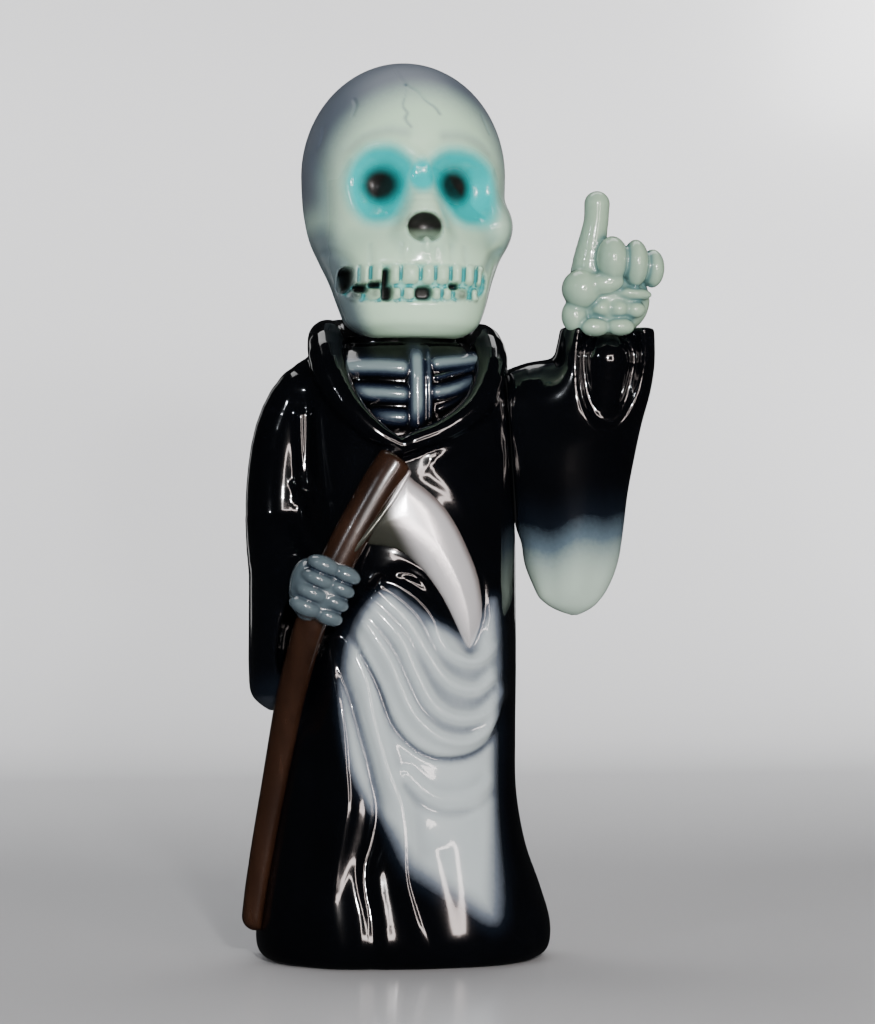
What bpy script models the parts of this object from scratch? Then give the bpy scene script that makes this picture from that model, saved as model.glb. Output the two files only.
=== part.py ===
"""A grim reaper figurine: a skull-headed figure in a hooded robe, with a scythe held against its front.

It is a glossy moulded figure of three pieces: the robed body with its right arm, hand and scythe, the
skull, whose neck sits in the collar, and the raised left arm, whose round root sits in the shoulder.
The figure faces -Y, its own left is +X, and the robe stands on z = 0 with the origin under the neck.
"""

import math

import bmesh
import bpy
from mathutils import Euler, Matrix, Vector

# Driving sizes, in metres
FIGURE_HEIGHT = 0.240
NECK_RADIUS = 0.0120
NECK_SEAT_DEPTH = 0.0080
ARM_ROOT_RADIUS = 0.0100
ARM_SEAT_DEPTH = 0.0030
SEAT_CLEARANCE = 0.0003

# The free form is laid out in units of which the figure is 240 tall
UNIT = FIGURE_HEIGHT / 240

# Height, half width, half depth and middle of the robe, in units, from the hem to the shoulders
ROBE_SECTIONS = (
    (0.0, 35.6, 26.6, -0.8, 0.0),
    (1.6, 38.2, 29.0, -0.7, 0.0),
    (5.0, 39.5, 30.2, -0.6, 0.0),
    (11.0, 39.3, 30.0, -0.6, 0.0),
    (20.0, 37.4, 28.6, -1.4, 0.0),
    (31.0, 34.8, 26.8, -2.6, 0.0),
    (45.0, 32.6, 25.6, -2.9, 0.0),
    (60.0, 31.7, 25.0, -2.2, 0.0),
    (78.0, 30.8, 24.5, -1.1, 0.0),
    (96.0, 30.1, 24.1, -0.5, 0.0),
    (115.0, 29.7, 23.8, -0.3, 0.0),
    (135.0, 28.6, 23.4, -0.3, 0.0),
    (150.0, 27.6, 23.1, -0.4, 0.0),
    (157.0, 26.4, 22.2, -0.5, 0.0),
    (161.5, 24.2, 20.2, -0.5, 0.0),
    (164.0, 20.0, 16.8, -0.5, 0.0),
)
SHOULDER_TOP = ROBE_SECTIONS[-1][0]
ROBE_SQUARENESS = 2.3
FRONT_SEGMENTS = 28
BACK_SEGMENTS = 11
ROBE_RING_HEIGHTS = (0.0, 1.0, 3.0, 7.0, *(12.0 + 6.6 * step for step in range(22)), 156.5, 161.0, 164.0)

# Folds of the robe's front as (x, z) lines, in units, with the height and half width of each
FOLDS = (
    (((-17.1, 82.2), (-13.5, 72.4), (-10.8, 59.6), (-8.0, 46.6), (-5.6, 28.9), (0.7, 8.0)), 1.5, 3.2),
    (((-23.7, 86.0), (-22.6, 67.9), (-21.6, 44.5), (-24.2, 21.2), (-22.9, 4.0)), 1.7, 3.2),
    (((-19.9, 73.0), (-14.4, 58.3), (-11.7, 42.0), (-14.4, 26.3), (-12.4, 2.0)), -2.0, 2.6),
    (((-30.5, 78.0), (-29.0, 45.0), (-31.5, 3.0)), -1.4, 3.0),
    (((-15.4, 90.0), (-11.2, 83.4), (-6.5, 75.6), (-2.0, 66.0), (4.0, 60.4), (16.2, 61.4)), 1.7, 2.6),
    (((-14.0, 93.0), (-9.4, 88.3), (-4.6, 81.6), (-0.2, 73.2), (5.6, 67.6), (18.3, 68.8)), 1.4, 2.4),
    (((-12.0, 97.0), (-5.0, 91.6), (0.5, 84.6), (5.2, 78.2), (10.3, 74.6), (18.8, 76.0)), 1.4, 2.4),
    (((-8.4, 100.0), (-1.0, 95.0), (4.8, 88.0), (9.5, 83.4), (19.0, 83.0)), 1.2, 2.4),
    (((-5.8, 53.4), (-2.1, 48.2), (3.1, 45.2), (9.2, 44.2), (14.8, 45.2), (20.3, 49.0)), 0.8, 2.6),
    (((24.6, 60.0), (25.8, 32.1), (28.0, 20.0), (32.4, 2.0)), -1.9, 2.8),
    (((8.0, 36.0), (11.0, 20.0), (12.0, 3.0)), 0.9, 5.0),
    (((-28.0, 140.0), (-22.0, 128.0), (-15.0, 116.0)), -0.8, 2.6),
)
# The lower edge of the gathered overskirt, and how far it stands out above the skirt
OVERSKIRT_EDGE = ((-17.8, 86.0), (-11.7, 75.0), (-8.3, 68.8), (-5.1, 63.3), (-0.9, 58.8), (4.9, 56.4),
                  (10.4, 56.0), (15.7, 58.1), (21.0, 63.0), (26.0, 72.0))
OVERSKIRT_STEP = 1.3
BACK_FOLDS = 9
BACK_FOLD_HEIGHT = 1.3

# The open V of the robe, in which the breastbone and ribs show
NECKLINE = ((-25.0, 172.0), (-22.6, 162.0), (-17.9, 150.6), (-12.6, 143.4), (-7.0, 139.0), (-0.7, 140.6),
            (7.2, 144.0), (13.9, 149.0), (18.8, 155.5), (22.0, 162.0), (25.0, 172.0))
CHEST_RECESS = 2.6

# Breastbone and ribs as (x, z) lines with their radii
RIBS = (
    (((0.1, 160.5), (0.1, 143.0)), 1.7),
    (((-18.0, 157.6), (-3.6, 156.4)), 1.6),
    (((-15.4, 150.8), (-3.8, 150.2)), 1.5),
    (((-10.4, 144.4), (-3.4, 144.0)), 1.3),
    (((4.1, 158.4), (17.2, 160.0)), 1.6),
    (((3.9, 151.0), (13.6, 153.0)), 1.5),
)

# The rolled collar: from the neckline's point up the right lapel, behind the neck and down the left one
COLLAR = (
    (-5.0, -24.4, 136.8, 1.8), (-11.5, -22.8, 140.4, 2.9), (-18.4, -19.4, 147.8, 3.9), (-22.2, -13.6, 157.6, 4.9),
    (-21.6, -4.0, 164.6, 5.4), (-18.6, 8.0, 165.6, 5.5), (-10.6, 15.6, 166.6, 5.6), (0.0, 18.6, 167.2, 5.7),
    (10.6, 15.6, 166.4, 5.6), (18.4, 8.0, 165.2, 5.4), (20.4, -4.0, 164.0, 5.2), (20.6, -13.6, 157.0, 4.7),
    (16.2, -19.8, 147.8, 3.9), (7.8, -22.8, 141.4, 3.1), (-1.5, -24.0, 137.6, 2.6), (-10.5, -23.8, 133.0, 1.6),
)

# The scythe: its shaft from the head down to the foot, and the outline of its blade as seen from the front
SHAFT = (
    (-6.6, -26.2, 132.4, 4.7), (-10.2, -26.2, 126.6, 4.6), (-14.6, -26.0, 119.0, 4.5), (-19.2, -25.6, 110.6, 4.3),
    (-24.6, -24.6, 99.6, 4.1), (-28.4, -22.6, 89.0, 4.0), (-30.6, -19.4, 80.0, 3.9), (-32.6, -15.2, 70.0, 3.8),
    (-34.4, -11.4, 58.0, 3.6), (-36.4, -8.8, 45.0, 3.4), (-38.6, -7.2, 32.0, 3.2), (-40.6, -6.0, 19.0, 3.0),
    (-41.5, -5.4, 11.5, 2.9),
)
BLADE_OUTLINE = ((-4.4, 128.6), (-1.0, 127.4), (5.2, 122.4), (9.4, 117.0), (12.8, 110.6), (16.4, 101.7),
                 (17.3, 92.0), (14.4, 84.0), (12.6, 84.3), (10.6, 88.2), (6.6, 96.4), (1.3, 103.8),
                 (-6.0, 109.6), (-15.6, 111.8), (-14.8, 120.0))
BLADE_THICKNESS = 2.4

# The right arm, hanging and bent forward, and its wide sleeve as (height, x, y, half width, half depth)
RIGHT_ARM = ((-20.0, -1.0, 156.0, 6.4), (-27.5, -0.5, 150.5, 7.8), (-31.8, 0.5, 140.0, 8.9),
             (-33.4, 1.0, 126.0, 9.4), (-33.6, -1.0, 114.0, 9.3), (-32.8, -8.0, 106.0, 8.6),
             (-30.4, -15.0, 101.0, 7.2), (-28.0, -20.0, 98.6, 5.8))
RIGHT_SLEEVE = ((66.4, -36.4, -4.0, 0.6, 0.8), (67.4, -36.6, -4.0, 3.0, 4.0), (71.0, -36.6, -4.6, 5.4, 8.0),
                (78.0, -35.6, -5.4, 7.2, 11.0), (88.0, -34.6, -5.6, 8.2, 12.6), (99.0, -33.8, -5.0, 8.9, 12.4),
                (109.0, -33.4, -3.0, 9.1, 10.4), (116.0, -33.2, 0.0, 8.4, 8.0))
RIGHT_SLEEVE_OPENING = ((-29.4, -17.5, 88.0), (6.6, 9.0, 15.5))
RIGHT_HAND = (-24.8, -27.6, 98.8)
FINGER_PITCH = 3.9

# The hood lying on the back, as (middle, half sizes)
HOOD = (((0.0, 17.0, 157.0), (19.5, 9.0, 11.5)), ((0.0, 20.5, 145.0), (13.0, 6.5, 14.0)))

# The raised left arm's sleeve as (height, x, y, half width, half depth)
LEFT_SLEEVE = (
    (91.2, 45.4, -3.4, 0.8, 0.8), (92.2, 45.2, -3.4, 3.6, 2.6), (95.0, 44.4, -3.4, 7.6, 4.6),
    (99.5, 44.6, -3.4, 10.4, 6.4), (106.0, 44.6, -3.6, 12.8, 7.8), (114.0, 44.8, -3.8, 13.9, 8.8),
    (124.0, 45.2, -4.0, 14.7, 9.7), (134.0, 46.4, -4.4, 15.3, 10.5), (143.0, 48.2, -5.2, 15.3, 11.0),
    (151.0, 50.6, -6.4, 14.9, 11.0), (158.0, 52.4, -7.8, 14.0, 10.4), (164.0, 53.0, -9.0, 13.3, 9.8),
    (168.6, 53.2, -9.8, 12.7, 9.4),
)
LEFT_SLEEVE_OPENING = ((53.0, -21.0, 159.0), (10.4, 11.0, 20.2))
LEFT_FOREARM = ((51.6, -9.0, 147.0, 6.4), (52.6, -10.4, 158.0, 7.6), (53.2, -11.2, 168.0, 8.6))
UPPER_ARM_DRAPE = ((36.4, -2.0, 136.0), (13.5, 9.6, 23.0))
UPPER_ARM = ((29.4, 0.0, 147.6, 10.4), (36.0, -1.4, 147.8, 10.6), (44.0, -3.4, 147.6, 10.6))
ARM_ROOT_HEIGHT = 146.5

# The raised hand as (middle, half sizes, tilt in degrees), and its straight forefinger
LEFT_HAND = (
    ((54.0, -11.0, 176.0), (10.4, 6.6, 9.6), (0, 0, 0)),
    ((52.8, -18.0, 186.4), (4.3, 5.6, 6.1), (12, 0, -6)),
    ((59.2, -17.4, 185.4), (3.5, 5.4, 6.3), (12, 0, 0)),
    ((64.2, -15.6, 184.2), (3.1, 4.8, 5.1), (12, 0, 8)),
    ((45.0, -15.2, 178.6), (5.2, 5.4, 5.2), (0, 20, 0)),
    ((50.6, -17.6, 180.0), (5.4, 3.2, 2.9), (0, -8, -12)),
    ((58.8, -16.6, 177.4), (5.0, 2.6, 1.7), (0, 4, 0)),
    ((50.4, -16.0, 173.6), (2.6, 2.4, 2.2), (0, 0, 0)),
    ((54.9, -16.6, 173.4), (2.6, 2.4, 2.2), (0, 0, 0)),
    ((59.4, -16.2, 173.2), (2.8, 2.4, 2.2), (0, 0, 0)),
    ((48.6, -15.8, 168.4), (3.8, 2.6, 2.5), (0, 0, 0)),
    ((55.4, -16.2, 168.6), (3.8, 2.6, 2.4), (0, 0, 0)),
    ((43.4, -13.6, 171.6), (3.4, 3.4, 4.4), (0, 0, 0)),
    ((46.6, -12.4, 169.4), (4.6, 4.0, 5.4), (0, 0, 0)),
)
FOREFINGER = ((47.6, -11.5, 178.0, 5.6), (47.8, -12.4, 186.0, 4.5), (48.8, -13.0, 193.0, 3.6),
              (49.4, -13.4, 197.0, 3.3), (49.6, -13.6, 201.6, 3.4))

# Height, half width, half depth and middle of the skull, in units, from the chin to the crown
SKULL_SECTIONS = (
    (165.4, 10.5, 11.0, 0.6, -9.0),
    (166.2, 14.4, 15.2, 0.7, -9.4),
    (169.0, 17.0, 18.6, 0.8, -9.8),
    (174.0, 18.9, 20.6, 0.9, -9.4),
    (180.0, 21.2, 22.6, 0.6, -7.8),
    (186.0, 23.9, 25.4, 0.5, -4.0),
    (191.5, 26.0, 28.0, 0.3, 0.6),
    (197.0, 26.9, 29.4, 0.3, 3.0),
    (204.0, 27.4, 31.2, 0.0, 4.2),
    (212.0, 27.3, 31.6, 0.0, 4.6),
    (221.0, 25.4, 29.6, 0.0, 4.6),
    (229.0, 21.5, 25.2, 0.0, 4.6),
    (235.0, 16.0, 18.8, 0.0, 4.6),
    (238.8, 8.4, 9.8, 0.0, 4.6),
    (240.0, 1.2, 1.4, 0.0, 4.6),
)
SKULL_SQUARENESS = 2.15
SKULL_SEGMENTS = 28
PAIRED_MASSES = (
    ((23.0, -9.6, 195.6), (4.4, 12.0, 5.6)),
    ((10.4, -20.9, 214.6), (11.4, 5.2, 4.6)),
)
NOSE_RIDGE = ((0.8, -26.4, 197.6), (6.2, 5.2, 9.6))
EYE_SOCKET = ((10.3, -27.2, 205.6), (8.8, 7.2, 8.0))
EYE_PIT = ((10.2, -20.8, 204.5), (3.8, 3.4, 3.8))
NOSE_HOLE = ((1.0, -31.0, 194.4), (4.7, 6.4, 4.2))

# The dental arch, the groove between the jaws, and each tooth as (x, half width)
ARCH_CENTRE_Y = -8.4
ARCH_HALF_WIDTH = 20.6
ARCH_DEPTH = 22.4
MOUTH_HEIGHT = 178.4
UPPER_TEETH = ((-16.2, 1.4), (-13.6, 1.5), (-10.8, 1.7), (-6.6, 1.7), (-2.6, 2.4), (1.6, 1.9), (5.6, 2.1),
               (9.4, 1.7), (12.8, 1.6), (15.6, 1.3))
LOWER_TEETH = ((-14.6, 1.9), (-10.8, 1.9), (-6.6, 1.7), (-2.6, 1.8), (4.8, 1.6), (8.0, 1.6), (12.2, 2.2))

TOOTH_ROWS = (("upper_tooth", UPPER_TEETH, 180.8, 2.9), ("lower_tooth", LOWER_TEETH, 176.4, 2.5))
TOOTH_DEPTH = 2.4
GROOVE_RADIUS = 3.2
GROOVE_STEPS = 12
GROOVE_HALF_ANGLE = 66

# Heights and places, in units, that the pegs and seats run to inside the pieces
NECK_TOP = 180
NECK_SEAT_TOP = 175
ARM_ROOT_END = 36
ARM_SEAT_END = 60
ROBE_GAP = 0.3
COLLAR_GAP = 0.2

# Colours of the pieces
BODY_COLOUR = (0.008, 0.010, 0.018, 1.0)
BONE_COLOUR = (0.56, 0.66, 0.60, 1.0)


def start_scene():
    """Removes every object and returns the collections for the pieces and for the shapes that form them."""
    for old in list(bpy.data.objects):
        bpy.data.objects.remove(old, do_unlink=True)
    pieces = bpy.data.collections.new("grim_reaper_figurine")
    helpers = bpy.data.collections.new("forming_shapes")
    helpers.hide_render = True
    for collection in (pieces, helpers):
        bpy.context.scene.collection.children.link(collection)
    return pieces, helpers


def gloss_material(name, colour):
    material = bpy.data.materials.new(name)
    material.use_nodes = True
    shader = material.node_tree.nodes["Principled BSDF"]
    shader.inputs["Base Color"].default_value = colour
    shader.inputs["Roughness"].default_value = 0.12
    shader.inputs["Metallic"].default_value = 0.0
    return material


def finish_mesh(mesh, name, collection):
    """Turns a bmesh into an object with flat outward faces in a collection."""
    bmesh.ops.triangulate(mesh, faces=mesh.faces)
    bmesh.ops.recalc_face_normals(mesh, faces=mesh.faces)
    data = bpy.data.meshes.new(name)
    mesh.to_mesh(data)
    mesh.free()
    made = bpy.data.objects.new(name, data)
    collection.objects.link(made)
    return made


def ball(name, middle, half_sizes, collection, tilt=(0, 0, 0), segments=12, rings=8):
    """An ellipsoid, from its middle and half sizes in units."""
    mesh = bmesh.new()
    bmesh.ops.create_uvsphere(mesh, u_segments=segments, v_segments=rings, radius=1.0)
    turn = Euler([math.radians(angle) for angle in tilt]).to_matrix().to_4x4()
    place = Matrix.Translation(Vector(middle) * UNIT)
    size = Matrix.Diagonal((*(Vector(half_sizes) * UNIT), 1.0))
    mesh.transform(place @ turn @ size)
    return finish_mesh(mesh, name, collection)


def smooth_path(points, steps=3):
    """A Catmull-Rom curve through points of any number of values each."""
    rows = [Vector(point) for point in points]
    rows = [2 * rows[0] - rows[1], *rows, 2 * rows[-1] - rows[-2]]
    path = []
    for a, b, c, d in zip(rows, rows[1:], rows[2:], rows[3:], strict=False):
        for step in range(steps):
            t = step / steps
            path.append(0.5 * (2 * b + (c - a) * t + (2 * a - 5 * b + 4 * c - d) * t**2
                               + (3 * b - a - 3 * c + d) * t**3))
    return [*path, rows[-2]]


def round_ends(path):
    """Adds a hemisphere's rings to both ends of a path of (x, y, z, radius) rows."""
    made = list(path)
    for end, inner in ((0, 1), (-1, -2)):
        tip, radius = path[end].xyz, path[end][3]
        outward = (tip - path[inner].xyz).normalized()
        for angle in (40, 75):
            turn = math.radians(angle)
            middle = tip + outward * radius * math.sin(turn)
            row = Vector((*middle, radius * math.cos(turn)))
            made = [row, *made] if end == 0 else [*made, row]
    return made


def limb(name, points, collection, steps=3, sides_level=3):
    """A round tube through (x, y, z, radius) points in units, with round ends, made a closed mesh."""
    curve = bpy.data.curves.new(name, "CURVE")
    curve.dimensions = "3D"
    curve.bevel_depth = UNIT
    curve.bevel_resolution = sides_level
    curve.use_fill_caps = True
    path = round_ends(smooth_path(points, steps))
    spline = curve.splines.new("POLY")
    spline.points.add(len(path) - 1)
    for point, row in zip(spline.points, path, strict=True):
        point.co = (*(row.xyz * UNIT), 1.0)
        point.radius = row[3]
    return curve_to_mesh(name, curve, collection)


def curve_to_mesh(name, curve, collection, place=None):
    """Makes a curve one welded mesh object, because a curve can't take part in a Boolean."""
    holder = bpy.data.objects.new(name, curve)
    collection.objects.link(holder)
    if place is not None:
        holder.matrix_world = place
    bpy.context.view_layer.update()
    evaluated = holder.evaluated_get(bpy.context.evaluated_depsgraph_get())
    mesh = bmesh.new()
    mesh.from_mesh(bpy.data.meshes.new_from_object(evaluated))
    mesh.transform(holder.matrix_world)
    bmesh.ops.remove_doubles(mesh, verts=mesh.verts, dist=1e-7)
    bpy.data.objects.remove(holder, do_unlink=True)
    return finish_mesh(mesh, name, collection)


def between(rows, height):
    """The row of sizes at a height, by smooth interpolation between the rows of a section table."""
    for lower, upper in zip(rows, rows[1:], strict=False):
        if height <= upper[0]:
            break
    index = rows.index(lower)
    before = rows[max(index - 1, 0)]
    after = rows[min(index + 2, len(rows) - 1)]
    span = upper[0] - lower[0]
    t = min(max((height - lower[0]) / span, 0.0), 1.0)
    made = []
    for k in range(1, len(lower)):
        rise = upper[k] - lower[k]
        start = rise if before is lower else (upper[k] - before[k]) / (upper[0] - before[0]) * span
        stop = rise if after is upper else (after[k] - lower[k]) / (after[0] - lower[0]) * span
        made.append(lower[k] + start * t + (3 * rise - 2 * start - stop) * t**2 + (start + stop - 2 * rise) * t**3)
    return made


def distance_to_line(x, z, line):
    """The distance from a point of the front view to an (x, z) line."""
    point = Vector((x, z))
    nearest = math.inf
    for start, stop in zip(line, line[1:], strict=False):
        a, b = Vector(start), Vector(stop)
        along = min(max((point - a).dot(b - a) / (b - a).length_squared, 0.0), 1.0)
        nearest = min(nearest, (point - a.lerp(b, along)).length)
    return nearest


def height_of_line(x, line):
    """The height of an (x, z) line that runs from left to right, at x."""
    for (x0, z0), (x1, z1) in zip(line, line[1:], strict=False):
        if x <= x1:
            return z0 + (z1 - z0) * max(x - x0, 0.0) / (x1 - x0)
    return line[-1][1]


def smooth_step(value, low, high):
    t = min(max((value - low) / (high - low), 0.0), 1.0)
    return t * t * (3 - 2 * t)


def front_relief(x, z):
    """How far the robe's front stands out at (x, z), in units: folds, overskirt and the chest's recess."""
    relief = sum(rise * math.exp(-((distance_to_line(x, z, line) / width) ** 2)) for line, rise, width in FOLDS)
    above_edge = z - height_of_line(x, OVERSKIRT_EDGE)
    relief += OVERSKIRT_STEP * smooth_step(above_edge, -0.8, 1.2) * smooth_step(z, 118.0, 84.0)
    inside_neckline = z - height_of_line(x, NECKLINE)
    relief -= CHEST_RECESS * smooth_step(inside_neckline, -0.6, 1.6)
    return relief


def reach_of_section(angle, half_width, half_depth, power):
    """How far a squared oval reaches at an angle round its middle."""
    across, along = abs(math.cos(angle) / half_width), abs(math.sin(angle) / half_depth)
    return (across**power + along**power) ** (-1 / power)


def robe_point(angle, z, offset=0.0):
    """A point of the robe's surface in units, from its angle round the figure and its height."""
    half_width, half_depth, middle_x, middle_y = between(ROBE_SECTIONS, z)
    c, s = math.cos(angle), math.sin(angle)
    reach = reach_of_section(angle, half_width, half_depth, ROBE_SQUARENESS)
    facing_front = smooth_step(-s, 0.0, 0.35)
    facing_back = smooth_step(s, 0.0, 0.5)
    relief = facing_front * front_relief(middle_x + reach * c, z)
    fading = smooth_step(z, 150.0, 60.0)
    relief += facing_back * fading * BACK_FOLD_HEIGHT * math.cos(2 * BACK_FOLDS * angle)
    reach += relief + offset
    return Vector((middle_x + reach * c, middle_y + reach * s, z))


def front_y(x, z):
    """The y of the robe's smooth front at (x, z), in units."""
    half_width, half_depth, middle_x, middle_y = between(ROBE_SECTIONS, z)
    share = min(abs((x - middle_x) / half_width), 0.98)
    return middle_y - half_depth * (1 - share**ROBE_SQUARENESS) ** (1 / ROBE_SQUARENESS)


def closed_loft(name, rings, collection):
    """A closed skin over rings of points, each given as a list, with flat caps."""
    mesh = bmesh.new()
    loops = [[mesh.verts.new(point * UNIT) for point in ring] for ring in rings]
    count = len(loops[0])
    for lower, upper in zip(loops, loops[1:], strict=False):
        for i in range(count):
            j = (i + 1) % count
            mesh.faces.new((lower[i], lower[j], upper[j], upper[i]))
    mesh.faces.new(reversed(loops[0]))
    mesh.faces.new(loops[-1])
    return finish_mesh(mesh, name, collection)


def robe_loft(name, collection, offset=0.0):
    """The robe's skin, with closer points across its front, which carries the folds."""
    front = [math.pi * (1 + k / FRONT_SEGMENTS) for k in range(FRONT_SEGMENTS)]
    back = [math.pi * k / BACK_SEGMENTS for k in range(BACK_SEGMENTS)]
    rings = [[robe_point(angle, z, offset) for angle in front + back] for z in ROBE_RING_HEIGHTS]
    return closed_loft(name, rings, collection)


def sleeve_loft(name, sections, collection, segments, steps):
    """A soft bag through (height, x, y, half width, half depth) sections."""
    rings = []
    for height, x, y, half_width, half_depth in smooth_path(sections, steps):
        ring = []
        for k in range(segments):
            turn = 2 * math.pi * k / segments
            ring.append(Vector((x + half_width * math.cos(turn), y + half_depth * math.sin(turn), height)))
        rings.append(ring)
    return closed_loft(name, rings, collection)


def post(name, start, stop, radius, collection, sides=32):
    """A plain cylinder between two points in metres."""
    axis = Vector(stop) - Vector(start)
    mesh = bmesh.new()
    bmesh.ops.create_cone(mesh, cap_ends=True, segments=sides, radius1=radius, radius2=radius, depth=axis.length)
    turn = axis.to_track_quat("Z", "Y").to_matrix().to_4x4()
    mesh.transform(Matrix.Translation((Vector(start) + Vector(stop)) / 2) @ turn)
    return finish_mesh(mesh, name, collection)


def combine(target, operation, shapes, helpers):
    """Adds one Boolean to target for a group of shapes, which are kept hidden in a collection of their own."""
    group = bpy.data.collections.new(f"{target.name}_{operation.lower()}_{len(target.modifiers)}")
    group.hide_render = True
    helpers.children.link(group)
    for shape in shapes:
        for holder in list(shape.users_collection):
            holder.objects.unlink(shape)
        group.objects.link(shape)
        shape.hide_render = True
        shape.display_type = "WIRE"
    modifier = target.modifiers.new(operation.title(), "BOOLEAN")
    modifier.operation = operation
    modifier.solver = "EXACT"
    modifier.operand_type = "COLLECTION"
    modifier.collection = group


def blade_shape(helpers):
    """The scythe's blade: its flat outline pushed through a skin that stands over the robe's front."""
    curve = bpy.data.curves.new("blade_outline", "CURVE")
    curve.dimensions = "2D"
    curve.fill_mode = "BOTH"
    curve.extrude = 9 * UNIT
    spline = curve.splines.new("POLY")
    spline.points.add(len(BLADE_OUTLINE) - 1)
    for point, (x, z) in zip(spline.points, BLADE_OUTLINE, strict=True):
        point.co = (x * UNIT, z * UNIT, 0.0, 1.0)
    spline.use_cyclic_u = True
    upright = Matrix.Translation((0, -22 * UNIT, 0)) @ Matrix.Rotation(math.radians(90), 4, "X")
    blade = curve_to_mesh("blade", curve, helpers, upright)
    skin = robe_loft("blade_skin", helpers, BLADE_THICKNESS)
    combine(blade, "INTERSECT", [skin], helpers)
    return blade


def rib_shapes(helpers):
    shapes = []
    for number, (line, radius) in enumerate(RIBS):
        points = []
        for x, z in smooth_path(line, 2):
            points.append((x, front_y(x, z) + CHEST_RECESS - 0.3 * radius, z, radius))
        shapes.append(limb(f"rib_{number}", points, helpers, steps=1, sides_level=1))
    return shapes


def gripping_hand(helpers):
    """Four fingers of two bones each, closed round the shaft, and the back of the hand."""
    shaft_top, shaft_low = Vector(SHAFT[3]).xyz, Vector(SHAFT[5]).xyz
    down = (shaft_low - shaft_top).normalized()
    across = down.cross(Vector((0, 1, 0))).normalized()
    if across.x < 0:
        across = -across
    tilt = math.degrees(math.atan2(-across.z, across.x))
    middle = Vector(RIGHT_HAND)
    shapes = [ball("hand_back", middle + Vector((-4.4, 3.0, 0.4)), (5.0, 6.2, 8.2), helpers),
              ball("palm", middle + Vector((0.0, 0.8, 0.3)), (6.2, 4.0, 8.0), helpers)]
    for finger in range(4):
        row = middle + down * FINGER_PITCH * (finger - 1.5)
        near = row - across * 3.4 + Vector((0, -1.0, 0))
        far = row + across * 3.0 + Vector((0, -0.4, 0))
        shapes.append(ball(f"finger_{finger}_near", near, (4.5, 3.7, 2.3), helpers, (7, tilt - 4, 0), 8, 5))
        shapes.append(ball(f"finger_{finger}_far", far, (4.1, 3.3, 2.1), helpers, (0, tilt + 5, 12), 8, 5))
    return shapes


def neck_seat(helpers, floor_z):
    """The round hole in the collar that the neck sits in, wider and deeper than it by the clearance."""
    low = (0, 0, floor_z - SEAT_CLEARANCE)
    return post("neck_seat", low, (0, 0, NECK_SEAT_TOP * UNIT), NECK_RADIUS + SEAT_CLEARANCE, helpers)


def make_body(pieces, helpers, neck_floor, arm_face):
    body = robe_loft("robe_body", pieces)
    additions = [
        limb("collar", COLLAR, helpers, 1),
        *(ball(f"hood_{k}", *sizes, helpers) for k, sizes in enumerate(HOOD)),
        limb("right_arm", RIGHT_ARM, helpers, 1),
        sleeve_loft("right_sleeve", RIGHT_SLEEVE, helpers, 16, 1),
        *rib_shapes(helpers),
        blade_shape(helpers),
    ]
    combine(body, "UNION", additions, helpers)
    opening = ball("sleeve_opening", *RIGHT_SLEEVE_OPENING, helpers, (0, 14, 0))
    combine(body, "DIFFERENCE", [opening], helpers)
    combine(body, "UNION", [limb("shaft", SHAFT, helpers, 1, 2), *gripping_hand(helpers)], helpers)
    arm_seat = post("arm_seat", (arm_face - SEAT_CLEARANCE, 0, ARM_ROOT_HEIGHT * UNIT),
                    (ARM_SEAT_END * UNIT, 0, ARM_ROOT_HEIGHT * UNIT), ARM_ROOT_RADIUS + SEAT_CLEARANCE, helpers)
    head_room = skull_loft("head_room", helpers, 1.5 * SEAT_CLEARANCE / UNIT)
    combine(body, "DIFFERENCE", [neck_seat(helpers, neck_floor), arm_seat, head_room], helpers)
    return body


def skull_loft(name, collection, offset=0.0):
    """The skull's plain form, from the flat chin to the round crown."""
    rings = []
    for z, half_width, half_depth, middle_x, middle_y in SKULL_SECTIONS:
        ring = []
        for k in range(SKULL_SEGMENTS):
            angle = 2 * math.pi * k / SKULL_SEGMENTS
            reach = reach_of_section(angle, half_width, half_depth, SKULL_SQUARENESS) + offset
            ring.append(Vector((middle_x + reach * math.cos(angle), middle_y + reach * math.sin(angle), z)))
        rings.append(ring)
    return closed_loft(name, rings, collection)


def skull_masses(helpers):
    shapes = [ball("nose_ridge", *NOSE_RIDGE, helpers)]
    for number, (middle, sizes) in enumerate(PAIRED_MASSES):
        for side in (-1, 1):
            there = (side * middle[0], *middle[1:])
            shapes.append(ball(f"side_{number}_{side}", there, sizes, helpers, segments=10, rings=6))
    return shapes


def tooth_row(name, teeth, height, half_height, helpers):
    shapes = []
    for number, (x, half_width) in enumerate(teeth):
        along = math.asin(x / ARCH_HALF_WIDTH)
        y = ARCH_CENTRE_Y - ARCH_DEPTH * math.cos(along)
        middle = (x, y + 0.9, height + 0.0016 * x * x)
        turn = (0, 0, math.degrees(along))
        sizes = (half_width, TOOTH_DEPTH, half_height)
        shapes.append(ball(f"{name}_{number}", middle, sizes, helpers, turn, 8, 4))
    return shapes


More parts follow.
